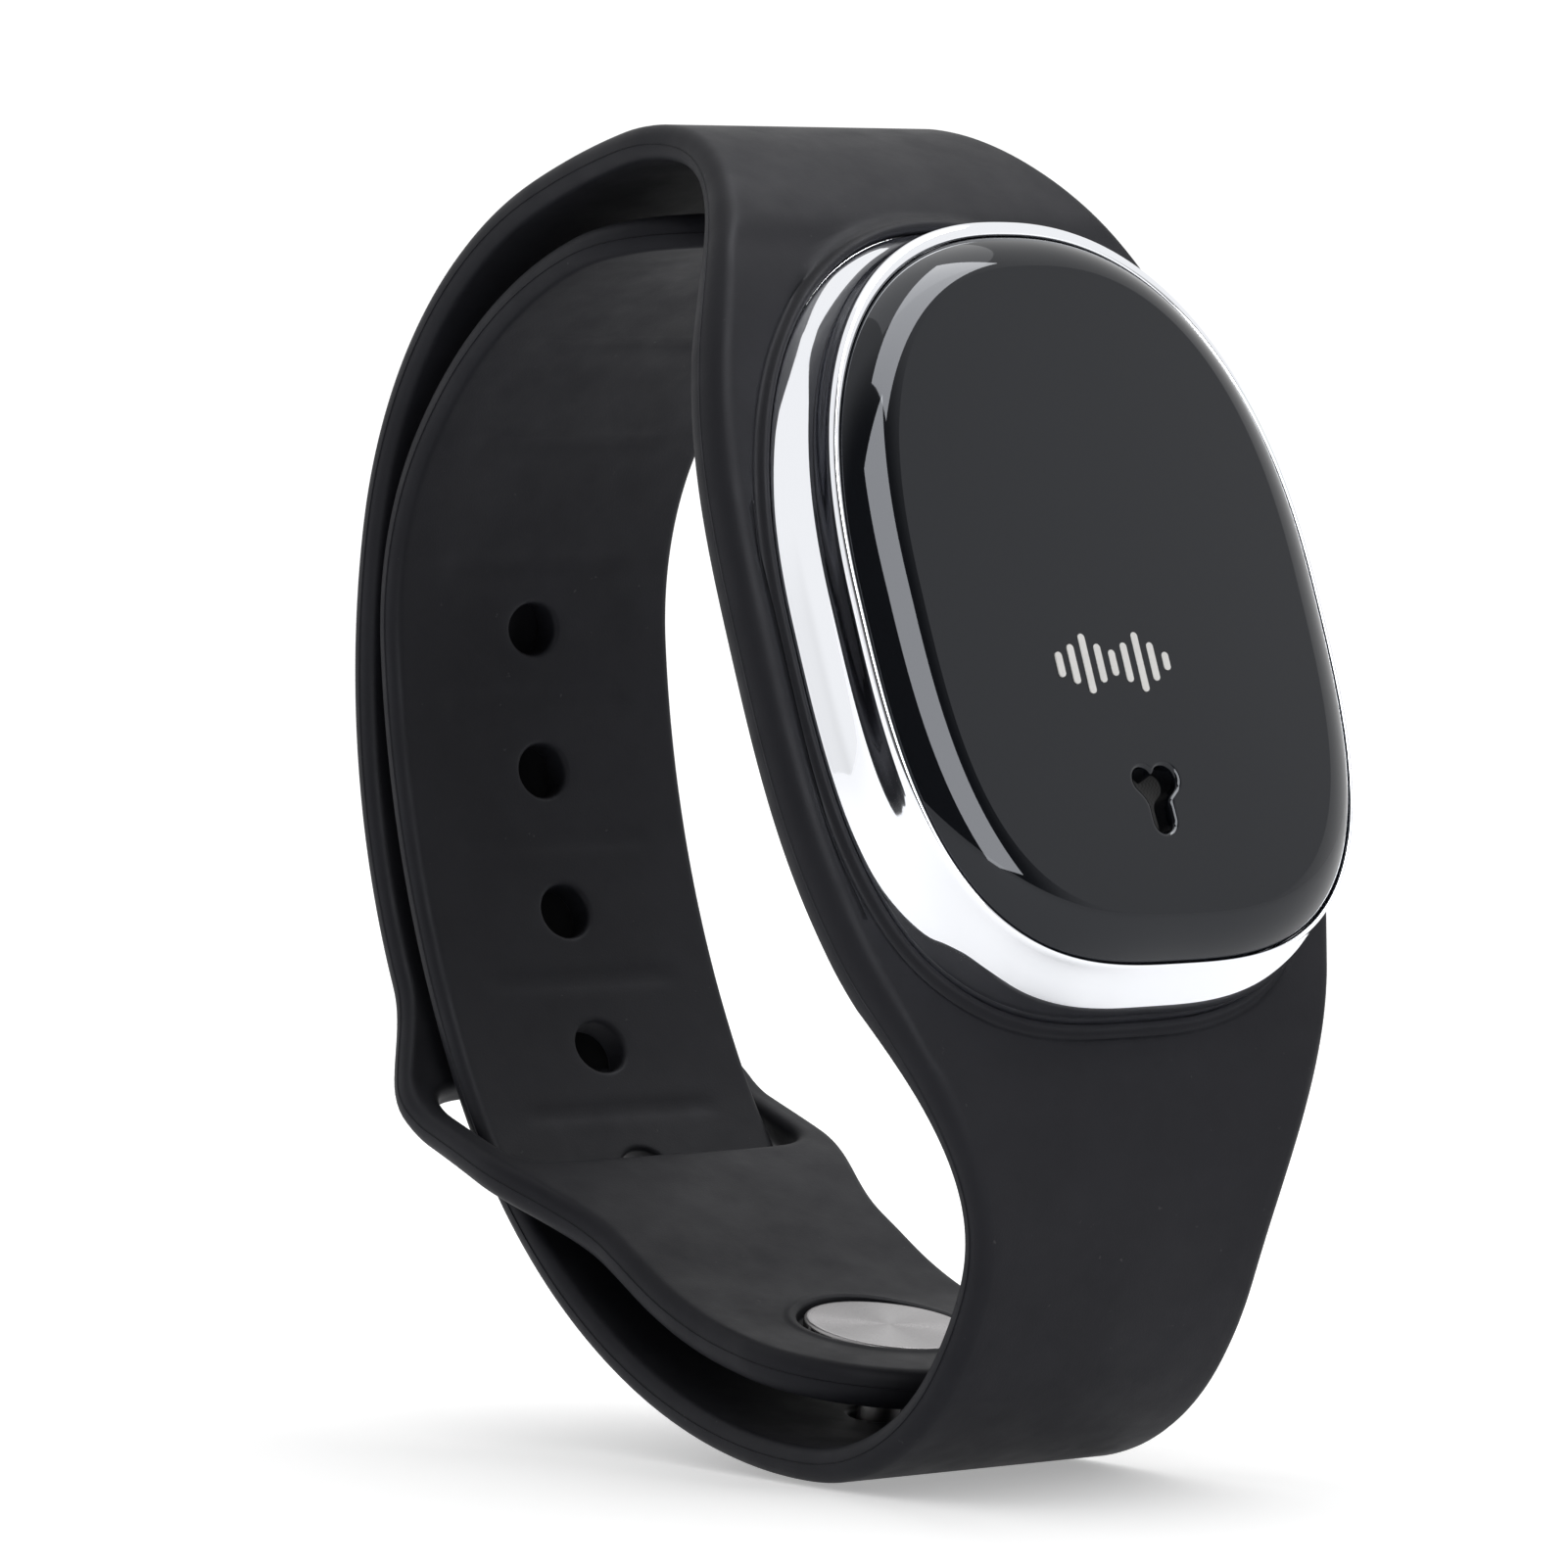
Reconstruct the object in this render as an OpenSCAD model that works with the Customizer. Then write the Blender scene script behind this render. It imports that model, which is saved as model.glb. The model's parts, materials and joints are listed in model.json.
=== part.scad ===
// Wristband with an oval clip-in pod: silicone strap, pin-and-tuck stud, chromed bezel and gloss lens.
// Millimetres. The band stands on the lowest point of its loop, +Z up, wrist axis along X, pod face to -Y.

/* [Band] */
// Width of the straps
strap_w = 18.5; // [16:0.5:20]
// Thickness of the upper strap and of the tail
strap_t = 1.8; // [1.4:0.1:1.9]
// Width of the upper strap round the tuck slot
slot_strap_w = 23; // [22.5:0.5:26]
// Side clearance of the tail in the tuck slot
slot_side_gap = 0.4; // [0.3:0.1:0.8]
// Widest part of the holder round the pod
holder_w = 34.6; // [33:0.2:38]
// Thickness of the holder where the pod sits
holder_t = 3.2; // [2.6:0.1:4]

/* [Closure] */
// Spacing of the adjustment holes
hole_pitch = 8; // [7:0.1:9]
// Diameter of the adjustment holes
hole_d = 3; // [2.8:0.1:3.6]
// Diameter of the stud disc on the wrist side
stud_d = 8.8; // [7:0.1:10]
// Diameter of the stud post
post_d = 2.2; // [1.8:0.1:2.4]
// Thickness of the stud tab
tab_t = 2.2; // [2:0.1:2.6]

/* [Pod] */
// Width of the pod at the base of the bezel
pod_w = 30.6; // [30.2:0.1:31]
// Length of the pod at the base of the bezel
pod_l = 41.8; // [41.6:0.1:42.4]
// Height of the bezel above the holder
bezel_h = 5.1; // [4.6:0.1:5.4]
// Depth of the pod behind the holder face
pod_depth = 5.6; // [5.2:0.1:6]
// Lean of the pod face back from upright, in degrees
pod_lean = 20.7; // [15:0.1:25]

/* [Hidden] */
// Height and depth of the pod centre, which put the origin under the middle of the band
pod_y = -17.1;
pod_z = 42.8;

// Outer faces of the two straps as chains of arcs, [length, turn in degrees], away from the pod
UPPER = [[5.6, -15], [16.2, -67], [8.3, -9], [24.5, -57], [30.6, -42], [5.3, -40], [16, 11], [9, -19], [11, -4]];
LOWER = [[3, -4], [21.6, 62], [12.8, 52], [36.3, 61], [25, 26], [12, 38], [28, 60]];
upper_from = 16;
lower_from = 15;

upper_end = 126;
lower_end = 138;
holder_run = 8;
slot_from = 86.8;
slot_to = 96.4;
tail_from = 63.6;
tip_from = 104;
stud_at = 117.2;
face_gap = 0.18;
split_gap = 0.3;
tab_split = 8;
split_overlap = 3;
chamfer = 0.45;
seg = 48;

// Ovals of the pod are squarer at the lower end than at the upper end
square_top = 2.3;
square_bottom = 3;
oval_shift = 0.25;
foot_shift = 0.45;
foot_h = 2.4;
lens_w = 29.3;
lens_l = 38.2;
lens_seat = 4.2;
lens_top = 7.05;
core_w = 25.6;
core_l = 34;
core_wall = 1;
cover_t = 1.2;
board_z = 1.6;
board_t = 0.8;
sounder_y = -10.4;
port_at = [-0.45, -10.9];
icon_at = [-1.45, -3.94];
icon_pitch = 0.85;
icon_bars = [1.3, 2.05, 3.1, 2, 1.35, 2.05, 3.1, 2, 0.95];

// ---- Strap geometry -------------------------------------------------------------------------------------

// Point and heading [y, z, heading] after a run of arc length d along an arc of length l and turn t
function step(p, l, t, d) =
    let (a = t * d / l, r = abs(a) < 1e-6 ? 0 : d * 180 / (PI * a))
    abs(a) < 1e-6 ? [p[0] + d * cos(p[2]), p[1] + d * sin(p[2]), p[2]]
    : [p[0] + r * (sin(p[2] + a) - sin(p[2])), p[1] - r * (cos(p[2] + a) - cos(p[2])), p[2] + a];

// Point and heading at arc length s along a chain of arcs
function walk(arcs, p, s, i = 0) =
    i == len(arcs) - 1 || s <= arcs[i][0] ? step(p, arcs[i][0], arcs[i][1], s)
    : walk(arcs, step(p, arcs[i][0], arcs[i][1], arcs[i][0]), s - arcs[i][0], i + 1);

function pod_yz(w, n) = [pod_y + w * sin(pod_lean) - n * cos(pod_lean), pod_z + w * cos(pod_lean) + n * sin(pod_lean)];
upper_start = concat(pod_yz(upper_from, 0), [90 - pod_lean]);
lower_start = concat(pod_yz(-lower_from, 0), [-90 - pod_lean]);
function on_upper(s) = walk(UPPER, upper_start, s);
function on_lower(s) = walk(LOWER, lower_start, s);

// Point at depth d inside the outer face
function inside_upper(s, d) = let (p = on_upper(s)) [p[0] + d * sin(p[2]), p[1] - d * cos(p[2])];
function inside_lower(s, d) = let (p = on_lower(s)) [p[0] - d * sin(p[2]), p[1] + d * cos(p[2])];

// Half width at distance w from the pod centre, measured along the band
function flare(w) =
    strap_w / 2 + (holder_w - strap_w) / 2 * pow(max(0, 1 - pow(abs(w) / 35, 3)), 2.6);
function rounded_end(s, end, r) = s < end - r ? 1 : sqrt(max(0, 1 - pow((s - end + r) / r, 2)));
function ramp(s, a, b) = let (u = min(1, max(0, (s - a) / (b - a)))) u * u * (3 - 2 * u);
function upper_half(s) =
    max(1.6, flare(upper_from + s) * rounded_end(s, upper_end, strap_w / 2))
    + (slot_strap_w - strap_w) / 2 * (ramp(s, 80, 88) - ramp(s, 95, 104));
function lower_half(s) = max(1.6, flare(lower_from + s) * rounded_end(s, lower_end, strap_w / 2));
function upper_thick(s) = holder_t + (strap_t - holder_t) * ramp(s, 0, 16) + (tab_t - strap_t) * ramp(s, 90, 100);
function lower_thick(s) = holder_t + (strap_t - holder_t) * ramp(s, 0, 16);

// Eight-cornered ring of a strap section between the depths d0 and d1
function ring(h, d0, d1, c) =
    [[-h + c, d0], [h - c, d0], [h, d0 + c], [h, d1 - c], [h - c, d1], [-h + c, d1], [-h, d1 - c], [-h, d0 + c]];

// Closed solid through rings of eight points
module through(rings) {
    n = len(rings);
    points = [for (r = rings) each r];
    sides = [for (i = [0:n - 2]) for (j = [0:7]) let (k = (j + 1) % 8)
        each [[8 * i + j, 8 * i + k, 8 * i + 8 + k], [8 * i + j, 8 * i + 8 + k, 8 * i + 8 + j]]];
    first = [[for (j = [7:-1:0]) j]];
    last = [[for (j = [0:7]) 8 * (n - 1) + j]];
    polyhedron(points, concat(first, sides, last));
}

// Stations from a to b, about 2 mm apart, and closer round the end where the strap ends there
function evenly(a, b) = let (n = ceil((b - a) / 2.2)) [for (i = [0:n]) a + (b - a) * i / n];
function stations(a, b, end, r) =
    b < end ? evenly(a, b) : concat(evenly(a, end - r), [for (i = [1:6]) end - r + r * sin(15 * i)]);

module upper_ribbon(a, b) {
    through([for (s = stations(a, b, upper_end, strap_w / 2))
        [for (q = ring(upper_half(s), 0, upper_thick(s), chamfer))
            let (p = inside_upper(s, q[1])) [q[0], p[0], p[1]]]]);
}

module lower_ribbon(a, b) {
    through([for (s = stations(a, b, lower_end, strap_w / 2))
        [for (q = ring(lower_half(s), 0, lower_thick(s), chamfer))
            let (p = inside_lower(s, q[1])) [-q[0], p[0], p[1]]]]);
}

// Holder: one ribbon from the lower strap, across the pod's seat, to the upper strap
function inside_holder(w, d) =
    w > upper_from ? inside_upper(w - upper_from, d)
    : w < -lower_from ? inside_lower(-w - lower_from, d)
    : pod_yz(w, -d);
function holder_thick(w) =
    w > upper_from ? upper_thick(w - upper_from) : w < -lower_from ? lower_thick(-w - lower_from) : holder_t;
module holder_ribbon() {
    through([for (w = evenly(-lower_from - holder_run, upper_from + holder_run))
        [for (q = ring(flare(w), face_gap * (1 - ramp(abs(w), 21, 23)), holder_thick(w), chamfer))
            let (p = inside_holder(w, q[1])) [-q[0], p[0], p[1]]]]);
}

// The tuck slot, cut across the bend of the upper strap
module tuck_slot() {
    corners = [inside_upper(slot_from, strap_t + 2), inside_upper(slot_from, -2),
        inside_upper((slot_from + slot_to) / 2, -4), inside_upper(slot_to, -2), inside_upper(slot_to, strap_t + 2)];
    rotate([90, 0, 90]) linear_extrude(strap_w + 2 * slot_side_gap, center = true) polygon(corners);
}

// Places children with z along the axis of the stud, pointing to the wrist, and origin on the tab's outer face
module at_stud() {
    p = on_upper(stud_at);
    translate([0, p[0], p[1]]) rotate([p[2] + 180, 0, 0]) children();
}

// Places children with z along the strap's inward normal at arc length s of the lower strap
module at_lower(s) {
    p = on_lower(s);
    translate([0, p[0], p[1]]) rotate([p[2], 0, 0]) children();
}

stud_hole_at = 43.6;
module adjustment_holes(first, last) {
    for (k = [first:last]) at_lower(stud_hole_at + k * hole_pitch)
        translate([0, 0, -1]) cylinder(d = hole_d, h = strap_t + 3, $fn = seg);
}

// ---- Pod geometry ---------------------------------------------------------------------------------------

// Pod frame: x across, y up the pod, z out of its face
module in_pod() {
    translate([0, pod_y, pod_z]) rotate([90 - pod_lean, 0, 0]) children();
}

function oval_points(w, l, shift = oval_shift) = [for (i = [0:71])
    let (c = cos(i * 5), s = sin(i * 5), n = s > 0 ? square_top : square_bottom)
    [w / 2 * sign(c) * pow(abs(c), 2 / n), shift + l / 2 * sign(s) * pow(abs(s), 2 / n)]];
module oval(w, l, h, shift = oval_shift) {
    linear_extrude(h) polygon(oval_points(w, l, shift));
}
module oval_ring(w, l, wall, h) {
    linear_extrude(h) difference() {
        polygon(oval_points(w, l));
        polygon(oval_points(w - 2 * wall, l - 2 * wall));
    }
}
module at_height(z) {
    translate([0, 0, z]) children();
}

screw_places = [[-9, -11.8], [9, -11.8], [-7.8, 12.2], [7.8, 12.2]];
pin_places = [[-2.6, -11.4], [2.6, -11.4]];
battery_at = [0, 2.4];

// ---- Silicone band --------------------------------------------------------------------------------------

module holder() {
    color("#2e2f33") difference() {
        union() {
            holder_ribbon();
            in_pod() at_height(-pod_depth + 0.2) oval(core_w + 4.4, core_l + 4.4, pod_depth - 1);
        }
        in_pod() at_height(-pod_depth - 1) oval(core_w + 0.7, core_l + 0.7, pod_depth + 8);
    }
}

module upper_strap() {
    color("#2e2f33") difference() {
        upper_ribbon(holder_run, stud_at - tab_split + split_overlap);
        tuck_slot();
        at_stud() translate([-20, tab_split - 40 + split_gap, -20]) cube([40, 40, 60]);
    }
}

module stud_tab() {
    color("#2e2f33") difference() {
        upper_ribbon(stud_at - tab_split - split_overlap, upper_end);
        at_stud() translate([-20, tab_split, -20]) cube([40, 60, 60]);
        at_stud() translate([0, 0, -1]) cylinder(d = post_d + 0.1, h = 6, $fn = seg);
        at_stud() translate([0, 0, tab_t - 0.6]) cylinder(d = stud_d + 0.2, h = 5, $fn = seg);
    }
}

module lower_strap() {
    color("#2e2f33") difference() {
        lower_ribbon(holder_run, tail_from);
        adjustment_holes(1, 2);
        at_stud() translate([0, 0, -12]) cylinder(d = hole_d, h = 12, $fn = seg);
    }
}

module strap_tail() {
    color("#2e2f33") difference() {
        lower_ribbon(tail_from, tip_from - 2 * split_gap);
        adjustment_holes(3, 7);
    }
}

module tail_tip() {
    color("#2e2f33") lower_ribbon(tip_from, lower_end);
}

// ---- Stud -----------------------------------------------------------------------------------------------

module stud_disc() {
    color("#b9b5b6") at_stud() difference() {
        translate([0, 0, tab_t - 0.55]) cylinder(d = stud_d, h = 0.75, $fn = 96);
        translate([0, 0, tab_t - 0.6]) cylinder(d = 1.4, h = 0.35, $fn = seg);
    }
}

module stud_post() {
    color("#b9b5b6") at_stud() union() {
        translate([0, 0, -3.6]) cylinder(d = post_d, h = 3.6 + tab_t - 0.57, $fn = seg);
        translate([0, 0, -4.3]) cylinder(d = post_d + 0.3, h = 0.8, $fn = seg);
        translate([0, 0, tab_t - 0.6]) cylinder(d = 1.3, h = 0.3, $fn = seg);
    }
}

// ---- Pod shell ------------------------------------------------------------------------------------------

module bezel_ring() {
    color("#dfe4ee") in_pod() difference() {
        hull() {
            oval(pod_w, pod_l, 0.4, foot_shift);
            at_height(foot_h) oval(pod_w - 0.3, pod_l - 0.8, 0.2, foot_shift - 0.35);
            at_height(bezel_h - 0.7) oval(lens_w + 1.1, lens_l + 1.6, 0.2);
            at_height(bezel_h - 0.25) oval(lens_w + 0.7, lens_l + 0.9, 0.25);
        }
        at_height(-1) oval(core_w + 0.5, core_l + 0.5, 10);
        at_height(lens_seat - 0.15) oval(lens_w + 0.1, lens_l + 0.1, 5);
    }
}

module port_outline() {
    for (x = [-0.66, 0.66]) hull() {
        translate([x, 0.95]) circle(d = 1.4, $fn = 24);
        translate([0, 0.3]) circle(d = 1.4, $fn = 24);
    }
    hull() {
        translate([0, 0.3]) circle(d = 1.4, $fn = 24);
        translate([0, -1.2]) circle(d = 1.2, $fn = 24);
    }
}

module lens_cover() {
    color("#15191f") in_pod() difference() {
        hull() {
            at_height(lens_seat) oval(lens_w, lens_l, bezel_h - lens_seat);
            at_height(5.7) oval(lens_w - 0.4, lens_l - 0.5, 0.05);
            at_height(6.3) oval(lens_w - 1.8, lens_l - 1.9, 0.05);
            at_height(6.65) oval(lens_w - 4.2, lens_l - 3.8, 0.05);
            at_height(lens_top - 0.05) oval(13, 18, 0.05);
        }
        at_height(lens_seat - 0.5) oval(core_w - 0.4, core_l - 0.4, 2);
        at_height(5) translate(port_at) linear_extrude(4) port_outline();
        symbol_shape(0.25, 5);
    }
}

module symbol_shape(depth, h) {
    for (k = [0:8]) translate([icon_at[0] + (k - 4) * icon_pitch, icon_at[1], lens_top - depth])
        bar(0.42, icon_bars[k], h);
}

module bar(w, l, h) {
    linear_extrude(h) union() {
        square([w, l - w], center = true);
        for (side = [-1, 1]) translate([0, side * (l - w) / 2]) circle(d = w, $fn = 16);
    }
}

module symbol_bars() {
    color("#ebebe8") in_pod() symbol_shape(0.25, 0.25);
}

module lens_adhesive() {
    color("#202124") in_pod() at_height(lens_seat - 0.14) oval_ring(lens_w - 0.2, lens_l - 0.2, 1, 0.13);
}

module port_mesh() {
    color("#3a3b3d") in_pod() at_height(5.48) translate([0, sounder_y, 0]) cylinder(d = 5, h = 0.18, $fn = seg);
}

module sounder_gasket() {
    color("#2b2b2b") in_pod() at_height(4.3) translate([0, sounder_y, 0]) difference() {
        cylinder(d = 8.4, h = 1.15, $fn = seg);
        at_height(-1) cylinder(d = 5.4, h = 4, $fn = seg);
    }
}

module sounder() {
    color("#c9a54b") in_pod() translate([0, sounder_y, 0]) union() {
        at_height(board_z + board_t + 0.02) cylinder(d = 7.6, h = 1.2, $fn = seg);
        at_height(board_z + board_t + 1.2) cylinder(d = 8.6, h = 0.6, $fn = seg);
    }
}

module mid_frame() {
    color("#26272a") in_pod() difference() {
        union() {
            difference() {
                at_height(-pod_depth + cover_t) oval_ring(core_w, core_l, core_wall, pod_depth - cover_t + 3.95);
                at_height(-pod_depth + cover_t - 0.1) oval_ring(core_w - 0.5, core_l - 0.5, 0.5, 0.55);
            }
            at_height(0.95) oval_ring(core_w - 1.8, core_l - 1.8, 1, 0.6);
            for (p = screw_places) translate([p[0], p[1], -pod_depth + cover_t + 0.5])
                cylinder(d = 2.6, h = 3, $fn = seg);
        }
        for (p = screw_places) translate([p[0], p[1], -pod_depth]) cylinder(d = 0.9, h = 4.2, $fn = seg);
    }
}

module rear_cover() {
    color("#1d1e20") in_pod() difference() {
        at_height(-pod_depth) oval(core_w, core_l, cover_t - 0.02);
        for (p = screw_places) translate([p[0], p[1], -pod_depth - 1]) cylinder(d = 1.1, h = 4, $fn = seg);
        for (p = screw_places) translate([p[0], p[1], -pod_depth - 1]) cylinder(d = 2.1, h = 1.6, $fn = seg);
        for (p = pin_places) translate([p[0], p[1], -pod_depth - 1]) cylinder(d = 2.1, h = 4, $fn = seg);
    }
}

module rear_seal() {
    color("#a33a2a") in_pod() at_height(-pod_depth + cover_t) oval_ring(core_w - 0.55, core_l - 0.55, 0.4, 0.42);
}

module rear_screws() {
    color("#9a9da2") in_pod() for (p = screw_places) translate([p[0], p[1], -pod_depth]) difference() {
        union() {
            cylinder(d = 2, h = 0.58, $fn = seg);
            cylinder(d = 0.85, h = 3.6, $fn = seg);
        }
        at_height(-1) cylinder(d = 0.9, h = 1.3, $fn = 6);
    }
}

// ---- Electronics ----------------------------------------------------------------------------------------

module circuit_board() {
    color("#1f5b3a") in_pod() at_height(board_z) oval(core_w - 2.4, core_l - 2.4, board_t);
}

module on_board(x, y, w, l, h) {
    translate([x - w / 2, y - l / 2, board_z + board_t + 0.02]) cube([w, l, h]);
}

module controller_chip() {
    color("#1a1a1c") in_pod() on_board(-5.2, 6, 5, 5, 0.9);
}

module small_chips() {
    color("#6b5b49") in_pod() union() {
        for (k = [0:3]) on_board(-8 + 1.9 * k, 1.2, 1, 0.6, 0.5);
        for (k = [0:2]) on_board(5 + 1.9 * k, 8.5, 1.2, 2, 0.7);
        on_board(6, -2.4, 2.5, 2, 0.8);
    }
}

module indicator_led() {
    color("#f1ecc8") in_pod() for (k = [-1, 1]) on_board(icon_at[0] + 1.6 * k, icon_at[1], 1.6, 0.8, 0.6);
}

module light_guide() {
    color("#dfe6ea") in_pod() translate([icon_at[0] - 3.6, icon_at[1] - 1.4, board_z + board_t + 0.7])
        cube([7.2, 3, 2.4]);
}

// Coil of round wire that stands on the board and carries a contact disc
module touch_spring() {
    coil_r = 1.5;
    wire_r = 0.19;
    rise = 0.72;
    color("#c8b06a") in_pod() translate([3, 4.6, board_z + board_t + 0.02]) union() {
        through([for (a = [0:18:1170]) [for (j = [0:7])
            let (r = coil_r + wire_r * cos(45 * j), z = wire_r + rise * a / 360 + wire_r * sin(45 * j))
            [r * cos(a), r * sin(a), z]]]);
        at_height(2.45) cylinder(r = 1.8, h = 0.3, $fn = seg);
    }
}

module battery_cell() {
    color("#b8bcc2") in_pod() translate([battery_at[0] - 6.5, battery_at[1] - 8.5, -3.55])
        cube([13, 17, 3.4]);
}

module battery_pad() {
    color("#3c3c40") in_pod() translate([battery_at[0] - 5.5, battery_at[1] - 7.5, -4.3])
        cube([11, 15, 0.7]);
}

module battery_tabs() {
    color("#cfcfca") in_pod() for (x = [-4, 4]) translate([battery_at[0] + x - 1, battery_at[1] - 10.6, -1.2])
        union() {
            cube([2, 2.08, 0.15]);
            cube([2, 0.15, 2.78]);
        }
}

module charging_pins() {
    color("#d9b45a") in_pod() for (p = pin_places) translate([p[0], p[1], -pod_depth]) union() {
        cylinder(d = 2, h = 1.4, $fn = seg);
        cylinder(d = 1.1, h = pod_depth + board_z - 0.02, $fn = seg);
    }
}

holder();
upper_strap();
stud_tab();
lower_strap();
strap_tail();
tail_tip();
stud_disc();
stud_post();
bezel_ring();
lens_cover();
symbol_bars();
lens_adhesive();
port_mesh();
sounder_gasket();
sounder();
mid_frame();
rear_cover();
rear_seal();
rear_screws();
circuit_board();
controller_chip();
small_chips();
indicator_led();
light_guide();
touch_spring();
battery_cell();
battery_pad();
battery_tabs();
charging_pins();
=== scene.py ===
"""Wristband with an oval clip-in pod, dressed for display.

The silicone band is one moulding that is drawn as a flat sheet, in arc length along the loop and distance
across it, then given its thickness, rounded edges, holes and tuck slot, and rolled round the loop. The pod's
bezel and lens are lofts of superellipses. Lengths are in millimetres until a mesh is made.
"""
import json
import logging
import math
from dataclasses import astuple, dataclass, field, replace
from enum import Enum
from typing import Callable, ClassVar, Sequence

import bpy
import numpy as np
from mathutils import Matrix, Vector


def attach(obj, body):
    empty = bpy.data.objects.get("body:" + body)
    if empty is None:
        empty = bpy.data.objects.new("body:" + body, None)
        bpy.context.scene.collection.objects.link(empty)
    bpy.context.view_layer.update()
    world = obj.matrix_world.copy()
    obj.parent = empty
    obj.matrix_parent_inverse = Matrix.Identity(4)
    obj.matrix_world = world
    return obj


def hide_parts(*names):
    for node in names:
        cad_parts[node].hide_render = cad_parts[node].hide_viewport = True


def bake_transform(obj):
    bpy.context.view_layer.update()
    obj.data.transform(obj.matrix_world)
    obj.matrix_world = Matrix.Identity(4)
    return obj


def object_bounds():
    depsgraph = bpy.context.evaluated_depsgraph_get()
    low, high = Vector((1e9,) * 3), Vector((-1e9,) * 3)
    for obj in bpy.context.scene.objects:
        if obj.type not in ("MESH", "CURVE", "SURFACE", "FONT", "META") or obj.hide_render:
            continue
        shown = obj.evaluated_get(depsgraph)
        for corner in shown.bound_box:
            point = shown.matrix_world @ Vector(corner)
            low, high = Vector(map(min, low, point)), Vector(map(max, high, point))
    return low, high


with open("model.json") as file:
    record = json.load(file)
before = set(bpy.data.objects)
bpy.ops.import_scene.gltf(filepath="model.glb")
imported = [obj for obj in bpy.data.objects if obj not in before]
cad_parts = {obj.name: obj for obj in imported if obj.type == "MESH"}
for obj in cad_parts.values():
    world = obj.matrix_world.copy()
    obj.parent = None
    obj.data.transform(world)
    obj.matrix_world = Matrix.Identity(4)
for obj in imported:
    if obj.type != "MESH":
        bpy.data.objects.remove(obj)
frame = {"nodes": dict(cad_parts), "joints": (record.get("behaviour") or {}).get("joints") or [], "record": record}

Triple = tuple[float, float, float]
Node = bpy.types.Node

LOG = logging.getLogger("wristband")
MM = 0.001
CAD_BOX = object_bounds()


# ---- Frame look-ups ---------------------------------------------------------------------------------------


def mount(name: str) -> dict:
    """Return the record's mount of that name."""
    return next(m for m in frame["record"]["mounts"] if m["name"] == name)


def joint(name: str) -> dict:
    """Return the record's joint of that name."""
    return next(j for j in frame["joints"] if j["name"] == name)


def mm(point: Sequence[float]) -> np.ndarray:
    """Return a point of the frame in millimetres."""
    return np.array(point, float) / MM


# ---- Finishes ---------------------------------------------------------------------------------------------


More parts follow.
